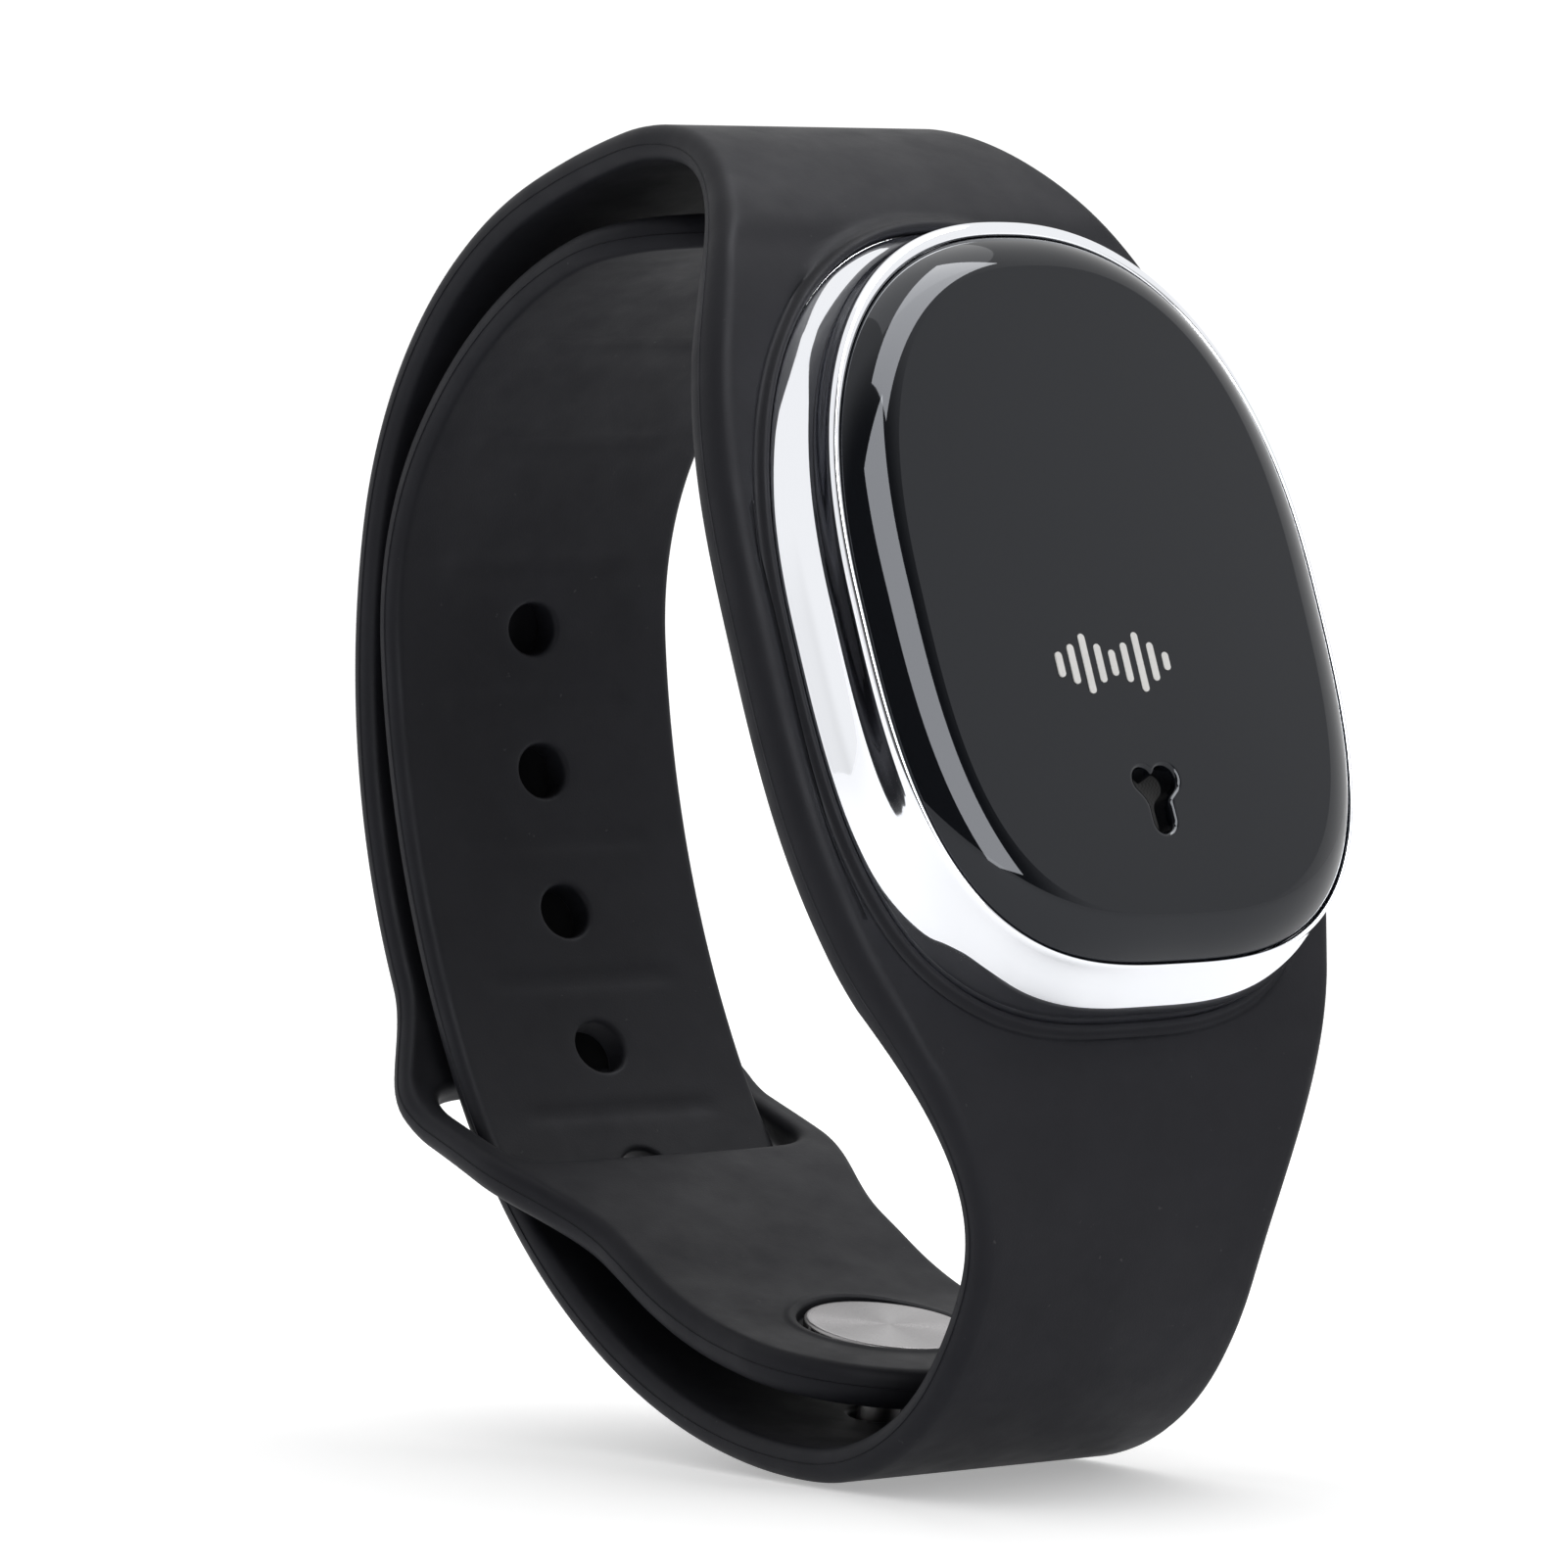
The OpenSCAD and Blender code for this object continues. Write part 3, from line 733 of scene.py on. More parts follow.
@dataclass
class Stretch:
    """A stretch of the band's sheet, from w_from to w_to, with its holes, slot and opening."""

    shape: BandShape
    w_from: float
    w_to: float
    holes: Sequence[Hole] = ()
    slot: bool = False
    opening: bool = False
    far_end: End = End.CUT
    stud_well: bool = False
    lip_h: float = 0.34
    crease: float = 0.08
    well: float = 0.62
    groove: float = 0.13
    spacing: float = 0.5
    columns: int = 32
    grooves: Sequence[float] = ()

    FILLET: ClassVar[np.ndarray] = 1 - np.cos(np.radians(np.arange(0, 91, 15)))
    SLOT_POWER: ClassVar[int] = 7

    @property
    def side(self) -> int:
        """Return which way along the band the far end lies."""
        return 1 if self.w_to > self.w_from else -1

    def edge_r(self, w: np.ndarray) -> np.ndarray:
        """Return the width of the rounded edge at w."""
        return 0.45 * self.shape.thick(w)

    def round_centre(self) -> float:
        """Return w of the centre of the round end."""
        return self.w_to - self.side * self.shape.strap_w / 2

    def gap_outline(self, w: np.ndarray, x: np.ndarray) -> np.ndarray:
        """Return the distance inside the sheet's outline."""
        gap = self.shape.half(w) - abs(x)
        if self.far_end is End.ROUND:
            centre = self.round_centre()
            past = self.side * (w - centre) > 0
            gap = np.where(past, self.shape.strap_w / 2 - np.hypot(w - centre, x), gap)
        return gap

    def slot_loop(self, loop: np.ndarray, grow: float) -> np.ndarray:
        """Return points of the slot's outline that face the points of a loop round it.

        The slot is a superellipse of a high power, which has straight sides and rounded corners.

        Args:
            loop: Points round the slot.
            grow: Distance outside the slot's edge.

        Returns:
            The matching points.
        """
        middle, half = self.slot_middle()
        v = loop - middle
        angle = np.arctan2(v[:, 1] / half[1], v[:, 0] / half[0])
        c, s, p = np.cos(angle), np.sin(angle), self.SLOT_POWER
        reach = (abs(c) ** p + abs(s) ** p) ** (-1 / p)
        return middle + np.stack([(half[0] + grow) * c * reach, (half[1] + grow) * s * reach], -1)

    def slot_middle(self) -> tuple[np.ndarray, np.ndarray]:
        """Return the slot's middle and half sizes, along and across."""
        a, b = self.shape.slot
        return (np.array([self.shape.upper_from + (a + b) / 2, 0.0]),
                np.array([(b - a) / 2, self.shape.strap_w / 2 + 0.4]))

    def gap_slot(self, w: np.ndarray, x: np.ndarray) -> np.ndarray:
        """Return the distance outside the slot."""
        middle, half = self.slot_middle()
        return Oval(half[1], half[0], self.SLOT_POWER, self.SLOT_POWER, 0).gap(x, w - middle[0])

    def depths(self, w: np.ndarray, x: np.ndarray) -> tuple[np.ndarray, np.ndarray]:
        """Work out the depth of both faces.

        Near an edge a face falls away along a quarter ellipse of the distance to that edge. Round the bezel
        the outer face has a rolled lip, and between the holes the inner face has shallow cross grooves.

        Args:
            w: Lengths along the band.
            x: Distances across.

        Returns:
            Depth of the outer face and of the inner face.
        """
        shape = self.shape
        t = shape.thick(w)
        outer, inner = np.zeros_like(t), np.zeros_like(t)
        if self.opening:
            outer += shape.face_gap * (1 - smooth(abs(w), *shape.seat_end))

        def fall(gap: np.ndarray, wide: np.ndarray | float, deep: np.ndarray | float) -> np.ndarray:
            """Return a quarter ellipse that is `deep` at a gap of 0 and flat from a gap of `wide`."""
            u = np.clip(1 - gap / wide, 0, 1)
            return deep * (1 - np.sqrt(1 - u * u))

        gap = self.gap_outline(w, x)
        outer = np.maximum(outer, fall(gap, self.edge_r(w), 0.5 * t))
        inner = np.maximum(inner, fall(gap, 0.3 * t, 0.38 * t))
        for hole in self.holes:
            gap = np.hypot(w - hole.at, x) - hole.radius
            outer = np.maximum(outer, fall(gap, hole.flare, hole.flare))
            inner = np.maximum(inner, fall(gap, hole.flare, hole.flare))
        if self.slot:
            gap = self.gap_slot(w, x)
            outer = np.maximum(outer, fall(gap, 0.5, 0.5))
            inner = np.maximum(inner, fall(gap, 0.7, 0.7))
        if self.opening:
            gap = shape.opening.gap(x, w)
            outer = np.maximum(outer, fall(gap, 0.4, 0.4))
            inner = np.maximum(inner, fall(gap, 0.4, 0.4))
            lip = shape.bezel.gap(x, w)
            rise = self.lip_h + np.maximum(self.drop(w), 0)
            outer = outer - rise * smooth(lip, -0.12, 0.12) * (1 - smooth(lip, 0.28, 0.28 + rise))
            outer = outer + self.crease * np.exp(-(((lip - 0.72) / 0.1) ** 2))
        if self.stud_well:
            reach = np.hypot(w - self.round_centre(), x)
            inner = inner + self.well * (1 - smooth(reach, 4.5, 4.62))
            inner = inner - 0.12 * np.exp(-(((reach - 4.95) / 0.28) ** 2))
        for w_groove in self.grooves:
            side = 1 - smooth(abs(x), 5.2, 6.6)
            inner = inner + self.groove * side * np.exp(-(((w - w_groove) / 0.42) ** 2))
        return outer, t - inner

    def drop(self, w: np.ndarray) -> np.ndarray:
        """Return how far the outer face lies behind the plane of the bezel's base."""
        face = self.shape.roll(w, np.zeros_like(w), np.zeros_like(w))
        return (self.shape.pod.origin - face) @ self.shape.pod.out

    def stations(self, a: float, b: float) -> np.ndarray:
        """Return w values from a to b, about one spacing apart."""
        return np.linspace(a, b, max(2, int(round(abs(b - a) / self.spacing)) + 1))

    def across(self, w: np.ndarray) -> np.ndarray:
        """Return the inner sheet's points on lines across it.

        Args:
            w: Lengths along the band.

        Returns:
            Array of lines, points and (w, x).
        """
        u = np.linspace(-1, 1, self.columns + 1)
        half = self.shape.half(w) - self.edge_r(w)
        return np.stack(np.broadcast_arrays(w[:, None], half[:, None] * u), -1)

    def cell_loop(self, w: np.ndarray) -> np.ndarray:
        """Return the boundary of the cell over the stations w, as one closed loop."""
        lines = self.across(w)
        return np.vstack([lines[:-1, 0], lines[-1, :-1], lines[:0:-1, -1], lines[0, :0:-1]])

    def ring(self, outer: np.ndarray, inner: np.ndarray, rows: np.ndarray) -> Surface:
        """Fill between two loops along straight lines.

        Args:
            outer: Outer loop.
            inner: Inner loop, with as many points.
            rows: Fractions of the way from the outer loop to the inner one.

        Returns:
            The flat surface.
        """
        return grid(outer + rows[:, None, None] * (inner - outer), close_v=True)

    def hole_cell(self, w: np.ndarray, hole: Hole) -> Surface:
        """Fill the cell over the stations w round a hole."""
        loop = self.cell_loop(w)
        v = loop - (hole.at, 0)
        ray = v / np.linalg.norm(v, axis=1)[:, None]
        near = (hole.at, 0) + ray * (hole.radius + hole.flare)
        edge = (hole.at, 0) + ray * hole.radius
        wide = np.linspace(0, 1, 9) ** 0.8
        return self.ring(loop, near, wide) + self.ring(near, edge, 1 - self.FILLET[::-1])

    def slot_cell(self, w: np.ndarray) -> Surface:
        """Fill the cell over the stations w round the tuck slot."""
        loop = self.cell_loop(w)
        near, edge = self.slot_loop(loop, 0.7), self.slot_loop(loop, 0.0)
        return self.ring(loop, near, np.linspace(0, 1, 6)) + self.ring(near, edge, 1 - self.FILLET[::-1])

    def opening_cell(self, w: np.ndarray) -> Surface:
        """Fill the cell over the stations w round the pod's opening, with close rows at the bezel's lip."""
        shape = self.shape
        loop = self.cell_loop(w)
        angle = np.arctan2(loop[:, 0] / w[-1], loop[:, 1] / shape.half(np.zeros(1)))
        c, s = np.cos(angle), np.sin(angle)
        outer, inner, rim, edge = (oval.facing(c, s)[:, ::-1] for oval in (
            shape.bezel.grown(0.9), shape.bezel.grown(-0.2), shape.opening.grown(0.4), shape.opening))
        return (self.ring(loop, outer, np.linspace(0, 1, 12)) + self.ring(outer, inner, np.linspace(0, 1, 14))
                + self.ring(inner, rim, np.linspace(0, 1, 5)) + self.ring(rim, edge, 1 - self.FILLET[::-1]))

    def end_angles(self) -> np.ndarray:
        """Return the angles of the round end's stations, from its start to its tip."""
        return np.radians(np.linspace(0, 90, 25))

    def end_cap(self) -> Surface:
        """Fill the half disc inside the round end's rounded edge."""
        radius = self.shape.strap_w / 2 - self.edge_r(np.array([self.w_to]))[0]
        a = self.end_angles()
        u = np.linspace(-1, 1, self.columns + 1)
        w = np.broadcast_to((self.round_centre() + self.side * radius * np.sin(a))[:, None], (len(a), len(u)))
        return grid(np.stack([w, radius * np.cos(a)[:, None] * u], -1))

    def stud_cell(self, w: np.ndarray, radius: float) -> Surface:
        """Fill the tab round its stud hole: straight sides over w, then the half circle, down to the hole."""
        lines = self.across(w)
        a = self.end_angles()
        inner_r = self.shape.strap_w / 2 - self.edge_r(np.array([self.w_to]))[0]
        sweep = np.concatenate([-math.pi / 2 + a[1:], a[1:]])
        arc = np.stack([self.round_centre() + inner_r * np.cos(sweep), inner_r * np.sin(sweep)], -1)
        loop = np.vstack([lines[:, 0], arc[:-1], lines[::-1, -1], lines[0, -2:0:-1]])
        centre = np.array([self.round_centre(), 0.0])
        v = loop - centre
        ray = v / np.linalg.norm(v, axis=1)[:, None]
        rings = [centre + ray * r for r in (5.4, 4.4, radius)]
        return (self.ring(loop, rings[0], np.linspace(0, 1, 8)) + self.ring(rings[0], rings[1], np.linspace(0, 1, 17))
                + self.ring(rings[1], rings[2], np.linspace(0, 1, 6)))

    def edge_strips(self, w: np.ndarray) -> Surface:
        """Fill the rounded edges on both sides, and round the free end.

        Args:
            w: Stations along the straight part.

        Returns:
            The flat surface.
        """
        inset = self.FILLET[:, None] * self.edge_r(w)
        x = self.shape.half(w) - inset
        line = np.broadcast_to(w, x.shape)
        strips = grid(np.stack([line, x], -1)) + grid(np.stack([line, -x], -1))
        if self.far_end is End.ROUND:
            a = np.concatenate([-self.end_angles()[:0:-1], self.end_angles()])
            turn = math.pi / 2 - abs(a)
            r = self.shape.strap_w / 2 - self.FILLET[:, None] * self.edge_r(np.array([self.w_to]))[0]
            w_end = self.round_centre() + self.side * r * np.sin(turn)
            strips += grid(np.stack([w_end, np.sign(a) * r * np.cos(turn)], -1))
        return strips

    def sheet(self) -> Surface:
        """Return the whole flat sheet, welded, with every face turned the same way."""
        end = self.round_centre() if self.far_end is End.ROUND else self.w_to
        cells: list[tuple[float, float, Callable[[np.ndarray], Surface]]] = []
        for hole in self.holes:
            if not (self.stud_well and hole.at == self.round_centre()):
                cells.append((hole.at - hole.reach, hole.at + hole.reach, lambda w, h=hole: self.hole_cell(w, h)))
        if self.slot:
            a, b = (self.shape.upper_from + s for s in self.shape.slot)
            cells.append((a - 3, b + 3, self.slot_cell))
        if self.opening:
            cells.append((-24.0, 25.0, self.opening_cell))
        if self.stud_well:
            cells.append((end - 8, end, lambda w: self.stud_cell(w, self.holes[-1].radius)))
        low, high = sorted((self.w_from, end))
        skin = 0.03
        stations, at = [np.array([low, low + skin])], low + skin
        patches = [grid(self.across(stations[0]))]
        for a, b, fill in sorted(cells, key=lambda c: c[0]):
            if a - at > 1e-6:
                w = self.stations(at, a)
                patches.append(grid(self.across(w)))
                stations.append(w)
            w = self.stations(a, b)
            patches.append(fill(w))
            stations.append(w)
            at = b
        last = high if self.far_end is End.ROUND and self.side > 0 else high - skin
        if last - at > 1e-6:
            w = self.stations(at, last)
            patches.append(grid(self.across(w)))
            stations.append(w)
        if last < high:
            stations.append(np.array([last, high]))
            patches.append(grid(self.across(stations[-1])))
        if self.far_end is End.ROUND and not self.stud_well:
            patches.append(self.end_cap())
        patches.append(self.edge_strips(np.unique(np.round(np.concatenate(stations), 6))))
        flat = patches[0]
        for patch in patches[1:]:
            flat = flat + patch
        flat = flat.welded()
        p = flat.points[flat.faces]
        area = np.cross(p[:, 2] - p[:, 0], p[:, 3] - p[:, 1])
        return Surface(flat.points, np.where(area[:, None] > 0, flat.faces, flat.faces[:, ::-1]))

    def solid(self) -> Surface:
        """Give the sheet its two faces and its walls, with a fine parting ridge, and roll it round the loop.

        Returns:
            The closed surface in the row's frame.
        """
        flat = self.sheet()
        w, x = flat.points.T
        outer, inner = self.depths(w, x)
        f = flat.faces
        edges = np.stack([f, np.roll(f, -1, axis=1)], -1).reshape(-1, 2)
        edges = edges[edges[:, 0] != edges[:, 1]]
        key = edges[:, 0] * (len(w) + 1) + edges[:, 1]
        back = edges[:, 1] * (len(w) + 1) + edges[:, 0]
        rim = edges[~np.isin(key, back)]
        ids = np.unique(rim)
        slot_of = np.full(len(w), -1)
        slot_of[ids] = np.arange(len(ids))
        run = flat.points[rim[:, 1]] - flat.points[rim[:, 0]]
        away = np.zeros((len(ids), 2))
        for corner in (0, 1):
            np.add.at(away, slot_of[rim[:, corner]], np.stack([run[:, 1], -run[:, 0]], -1))
        away /= np.maximum(np.linalg.norm(away, axis=1), 1e-9)[:, None]
        on_outline = (self.gap_outline(w[ids], x[ids]) < 0.02) & (abs(away[:, 1]) > 0.02)
        steps = ((0.30, 0.0), (0.44, 0.0), (0.52, 0.055), (0.60, 0.0), (0.74, 0.0))
        layers = [self.shape.roll(w, x, outer), self.shape.roll(w, x, inner)]
        base = 2 * len(w)
        for share, proud in steps:
            push = np.where(on_outline, proud, 0.0)[:, None] * away
            depth = outer[ids] + share * (inner[ids] - outer[ids])
            layers.append(self.shape.roll(w[ids] + push[:, 0], x[ids] + push[:, 1], depth))
        faces = [f, f[:, ::-1] + len(w)]
        a, b = slot_of[rim[:, 0]], slot_of[rim[:, 1]]
        starts = base + len(ids) * np.arange(len(steps))
        tops = [(rim[:, 0], rim[:, 1]), *((s + a, s + b) for s in starts), (rim[:, 0] + len(w), rim[:, 1] + len(w))]
        for (a0, b0), (a1, b1) in zip(tops[:-1], tops[1:]):
            faces.append(np.stack([b0, a0, a1, b1], -1))
        return Surface(np.vstack(layers), np.vstack(faces)).outward()


@dataclass
class SiliconeBand:
    """The band: a loop with the holder, the tuck-and-stud stretch, the tail, and the holder's rear collar."""

    shape: BandShape
    material: bpy.types.Material
    tab_from: float = 74.0
    tab_bend: tuple[float, float] = (99.0, 109.0)
    tail_from: float = 62.0
    tail_bend: tuple[float, float] = (97.0, 111.0)
    first_groove: float = 71.6
    grooves: int = 7
    collar_turns: int = 240

    def hole(self, k: int) -> Hole:
        """Return the k-th adjustment hole beyond the stud's, on the lower side."""
        s = self.shape
        return Hole(-(s.lower_from + s.first_hole + (k - 1) * s.pitch), s.hole_r, 0.3, 3.0)

    def point(self, w: float) -> Triple:
        """Return the band's outer face at w, in metres."""
        p = self.shape.roll(np.array([w]), np.zeros(1), np.zeros(1))[0] * MM
        return tuple(float(c) for c in p)

    def loop(self) -> bpy.types.Object:
        """Make the holder and the straps as far as the tuck slot and the tail."""
        s = self.shape
        stud_hole = Hole(-(s.lower_from + s.stud_hole_at), s.hole_r, 0.3, 3.0)
        part = Stretch(s, -(s.lower_from + self.tail_from), s.upper_from + self.tab_from,
                       holes=(stud_hole, self.hole(1)), opening=True)
        return stand_in(part.solid().piece("band_loop", self.material), "silicone", "holder", "lower_strap",
                        body="band")

    def tab(self) -> bpy.types.Object:
        """Make the stretch with the tuck slot and the stud tab."""
        s = self.shape
        w_end = s.upper_from + s.upper_end
        stud = Hole(w_end - s.strap_w / 2, 1.15, 0.1, 8.0)
        part = Stretch(s, s.upper_from + self.tab_from, w_end, holes=(stud,), slot=True,
                       far_end=End.ROUND, stud_well=True)
        obj = stand_in(part.solid().piece("band_tab", self.material), "silicone", "upper_strap", "stud_tab")
        start, end = (self.point(s.upper_from + at) for at in self.tab_bend)
        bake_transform(obj)
        return obj

    def tail(self) -> bpy.types.Object:
        """Make the free tail with its holes and cross grooves."""
        s = self.shape
        holes = tuple(self.hole(k) for k in range(3, 8))
        grooves = tuple(-(s.lower_from + self.first_groove + s.pitch * k) for k in range(self.grooves))
        part = Stretch(s, -(s.lower_from + self.tail_from), -(s.lower_from + s.lower_end), holes=holes,
                       far_end=End.ROUND, grooves=grooves)
        obj = stand_in(part.solid().piece("band_tail", self.material), "silicone", "strap_tail", "tail_tip")
        start, end = (self.point(-(s.lower_from + at)) for at in self.tail_bend)
        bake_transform(obj)
        return obj

    def collar(self) -> bpy.types.Object:
        """Make the wall round the pod behind the holder: a rounded section carried along a superellipse."""
        angles = np.linspace(0, 2 * math.pi, self.collar_turns, endpoint=False)
        section = ((0.0, 2.6), (0.0, 5.1), (0.12, 5.34), (0.4, 5.42), (1.3, 5.42), (1.65, 5.3), (1.8, 5.0),
                   (1.95, 3.6), (2.3, 3.2), (2.3, 2.6))
        rings = [np.column_stack([self.shape.opening.grown(out).loop(angles), np.full(self.collar_turns, -depth)])
                 for out, depth in section]
        surface = grid(np.stack(rings), close_u=True, close_v=True)
        surface.points = self.shape.pod.to_row(surface.points)
        return stand_in(surface.outward().piece("holder_collar", self.material), "silicone", body="band")


# ---- The pod ----------------------------------------------------------------------------------------------


@dataclass
class Bezel:
    """The chromed ring: a flared foot, a waisted wall and a rolled lip, carried along a superellipse.

    Each row of the section is its reach to the side, to the upper end and to the lower end, and its height.
    """

    pod: PodFrame
    material: bpy.types.Material
    turns: int = 360
    foot_top: float = 2.2
    rim_top: float = 2.3
    section: Sequence[tuple[float, float, float, float]] = (
        (13.40, 18.40, 18.30, 0.02), (15.05, 21.10, 20.30, 0.02), (15.28, 21.37, 20.46, 0.05),
        (15.27, 21.34, 20.48, 0.20), (15.15, 21.16, 20.50, 0.55), (14.99, 20.92, 20.52, 1.00),
        (14.81, 20.67, 20.53, 1.50), (14.66, 20.49, 20.52, 2.00), (14.58, 20.41, 20.47, 2.40),
        (14.59, 20.37, 20.31, 2.82), (14.67, 20.34, 20.02, 3.35), (14.79, 20.32, 19.66, 3.90),
        (14.90, 20.29, 19.38, 4.35), (14.97, 20.25, 19.22, 4.66), (14.97, 20.14, 19.14, 4.87),
        (14.90, 19.98, 19.07, 5.02), (14.80, 19.75, 18.99, 5.09), (14.71, 19.54, 18.93, 5.07),
        (14.66, 19.41, 18.89, 4.98), (14.645, 19.375, 18.875, 4.80), (14.64, 19.37, 18.87, 4.30),
        (13.40, 18.00, 17.70, 4.10))

    def build(self) -> bpy.types.Object:
        """Make the ring: each row is a superellipse whose middle and half length span its two ends."""
        angles = np.linspace(0, 2 * math.pi, self.turns, endpoint=False)
        rows = self.rounded(np.array(self.section))
        rings = []
        for side, top, bottom, height in rows:
            share = height / rows[:, 3].max()
            oval = Oval(side, (top + bottom) / 2, self.foot_top + share * (self.rim_top - self.foot_top),
                        middle=(top - bottom) / 2)
            rings.append(np.column_stack([oval.loop(angles), np.full(self.turns, height)]))
        surface = grid(np.stack(rings), close_u=True, close_v=True)
        surface.points = self.pod.to_row(surface.points)
        return stand_in(surface.outward().piece("bezel_plated", self.material, 60), "bezel_chrome", "bezel_ring",
                        body="pod")

    @staticmethod
    def rounded(section: np.ndarray, between: int = 4) -> np.ndarray:
        """Return the visible part of a section as a Catmull-Rom curve through its points.

        Args:
            section: Points of the section; the first and last stay as corners.
            between: Points from one to the next.

        Returns:
            The finer section.
        """
        p = np.vstack([section[:1], section, section[-1:]])
        u = np.linspace(0, 1, between, endpoint=False)[:, None]
        parts = [0.5 * (2 * b + (c - a) * u + (2 * a - 5 * b + 4 * c - d) * u ** 2 + (3 * b - a - 3 * c + d) * u ** 3)
                 for a, b, c, d in zip(p, p[1:], p[2:], p[3:])]
        return np.vstack(parts[1:-1] + [section[-1:]])


@dataclass
class Lens:
    """The gloss face: a wall, a round shoulder and a slightly domed top with the keyhole sound port."""

    pod: PodFrame
    material: bpy.types.Material
    edge: Oval = Oval(14.6, 19.1)
    flat: Oval = Oval(12.15, 17.0, 2.42, 3.05, 0.15)
    seat: float = 4.22
    pocket: float = 5.3
    edge_h: float = 4.95
    flat_h: float = 6.66
    top_h: float = 7.04
    port: tuple[float, float] = (-0.45, -10.9)
    port_depth: float = 1.55
    cell: tuple[float, float, float, float] = (-2.2, 2.2, -2.7, 2.5)
    columns: tuple[int, int] = (100, 118)
    rim_w: float = 0.28
    rim_h: float = 0.16
    slopes: tuple[float, float] = (16.0, 58.0)
    pocket_reach: float = -0.7

    def top(self, x: np.ndarray, y: np.ndarray) -> np.ndarray:
        """Return the height of the domed top: it falls with the square of the distance from the middle."""
        return self.top_h - (self.top_h - self.flat_h) * self.flat.rho(x, y) ** 2

    def port_gap(self, x: np.ndarray, y: np.ndarray) -> np.ndarray:
        """Return the signed distance from the port's outline: two round lobes that lean into a stem.

        Each part is a capsule: the distance to a line between two points, less a radius.
        """
        def capsule(ax: float, ay: float, bx: float, by: float, ra: float, rb: float) -> np.ndarray:
            """Return the distance from one tapering capsule."""
            px, py, vx, vy = x - ax, y - ay, bx - ax, by - ay
            u = np.clip((px * vx + py * vy) / (vx * vx + vy * vy), 0, 1)
            return np.hypot(px - u * vx, py - u * vy) - (ra + u * (rb - ra))
        left = capsule(-0.70, 0.95, -0.05, 0.2, 0.62, 0.6)
        right = capsule(0.66, 0.88, 0.05, 0.2, 0.74, 0.62)
        stem = capsule(0.02, 0.2, 0.08, -1.2, 0.6, 0.6)
        return self.blend(self.blend(left, right), stem)

    @staticmethod
    def blend(a: np.ndarray, b: np.ndarray, k: float = 0.25) -> np.ndarray:
        """Return the smooth least of two distances."""
        h = np.clip(0.5 + (b - a) / (2 * k), 0, 1)
        return b + (a - b) * h - k * h * (1 - h)

    def face(self, p: np.ndarray) -> np.ndarray:
        """Return flat points raised to the top, sunk inside the port behind a rounded rim."""
        x, y = p[..., 0], p[..., 1]
        gap = self.port_gap(x - self.port[0], y - self.port[1])
        rim = self.rim_h * np.clip(1 - gap / self.rim_w, 0, 1) ** 2
        well = (self.port_depth - self.rim_h) * smooth(-gap, 0.0, 0.14)
        z = self.top(x, y) - rim - well
        return np.concatenate([p, z[..., None]], -1)

    def build(self) -> bpy.types.Object:
        """Make the lens."""
        x0, x1, y0, y1 = self.cell
        nx, ny = self.columns
        xs, ys = self.port[0] + np.linspace(x0, x1, nx + 1), self.port[1] + np.linspace(y0, y1, ny + 1)
        core = np.stack(np.meshgrid(xs, ys, indexing="ij"), -1)
        box = np.vstack([core[:-1, 0], core[-1, :-1], core[:0:-1, -1], core[0, :0:-1]])
        rays = box - self.port
        fade = np.linspace(0, 1, 26)[:, None, None]
        brink = self.facing(rays, 0.0)
        top = grid(self.face(brink + fade * (box - brink)), close_v=True) + grid(self.face(core))
        steep = np.radians(np.linspace(*self.slopes, 24))
        drop = (np.cos(steep[0]) - np.cos(steep)) / (np.cos(steep[0]) - np.cos(steep[-1]))
        reach = (np.sin(steep) - np.sin(steep[0])) / (np.sin(steep[-1]) - np.sin(steep[0]))
        rows = [self.level(rays, r, self.flat_h - (self.flat_h - self.edge_h) * d) for r, d in zip(reach, drop)]
        inner = self.pocket_reach
        rows += [self.level(rays, 1.0, self.seat), self.level(rays, inner, self.seat),
                 self.level(rays, inner, self.pocket)]
        centre = np.broadcast_to(np.array([*self.port, self.pocket]), rows[-1].shape)
        surface = (top + grid(np.stack(rows + [centre]), close_v=True)).welded()
        surface.points = self.pod.to_row(surface.points)
        return stand_in(surface.outward().piece("lens_face", self.material, 40), "gloss_lens", "lens_cover",
                        body="pod")

    def facing(self, rays: np.ndarray, reach: float) -> np.ndarray:
        """Return points of the oval `reach` of the way from the flat's edge to the lens's edge.

        The points lie on rays from the port's middle, found by bisection on the oval's function.

        Args:
            rays: Directions of the rays.
            reach: 0 is the edge of the flat, 1 the edge of the lens.

        Returns:
            Array of x and y.
        """
        a, b = self.flat, self.edge
        oval = Oval(*(u + reach * (v - u) for u, v in zip(astuple(a), astuple(b))))
        ray = rays / np.linalg.norm(rays, axis=1)[:, None]
        low, high = np.zeros(len(ray)), np.full(len(ray), 40.0)
        for _ in range(40):
            mid = (low + high) / 2
            outside = oval.rho(*(self.port + mid[:, None] * ray).T) > 1
            high, low = np.where(outside, mid, high), np.where(outside, low, mid)
        return self.port + low[:, None] * ray

    def level(self, rays: np.ndarray, reach: float, height: float) -> np.ndarray:
        """Return one ring of the shoulder or wall, at a height; the first ring takes the top's height."""
        xy = self.facing(rays, reach)
        z = self.top(*xy.T) if reach == 0 else np.full(len(xy), height)
        return np.column_stack([xy, z])


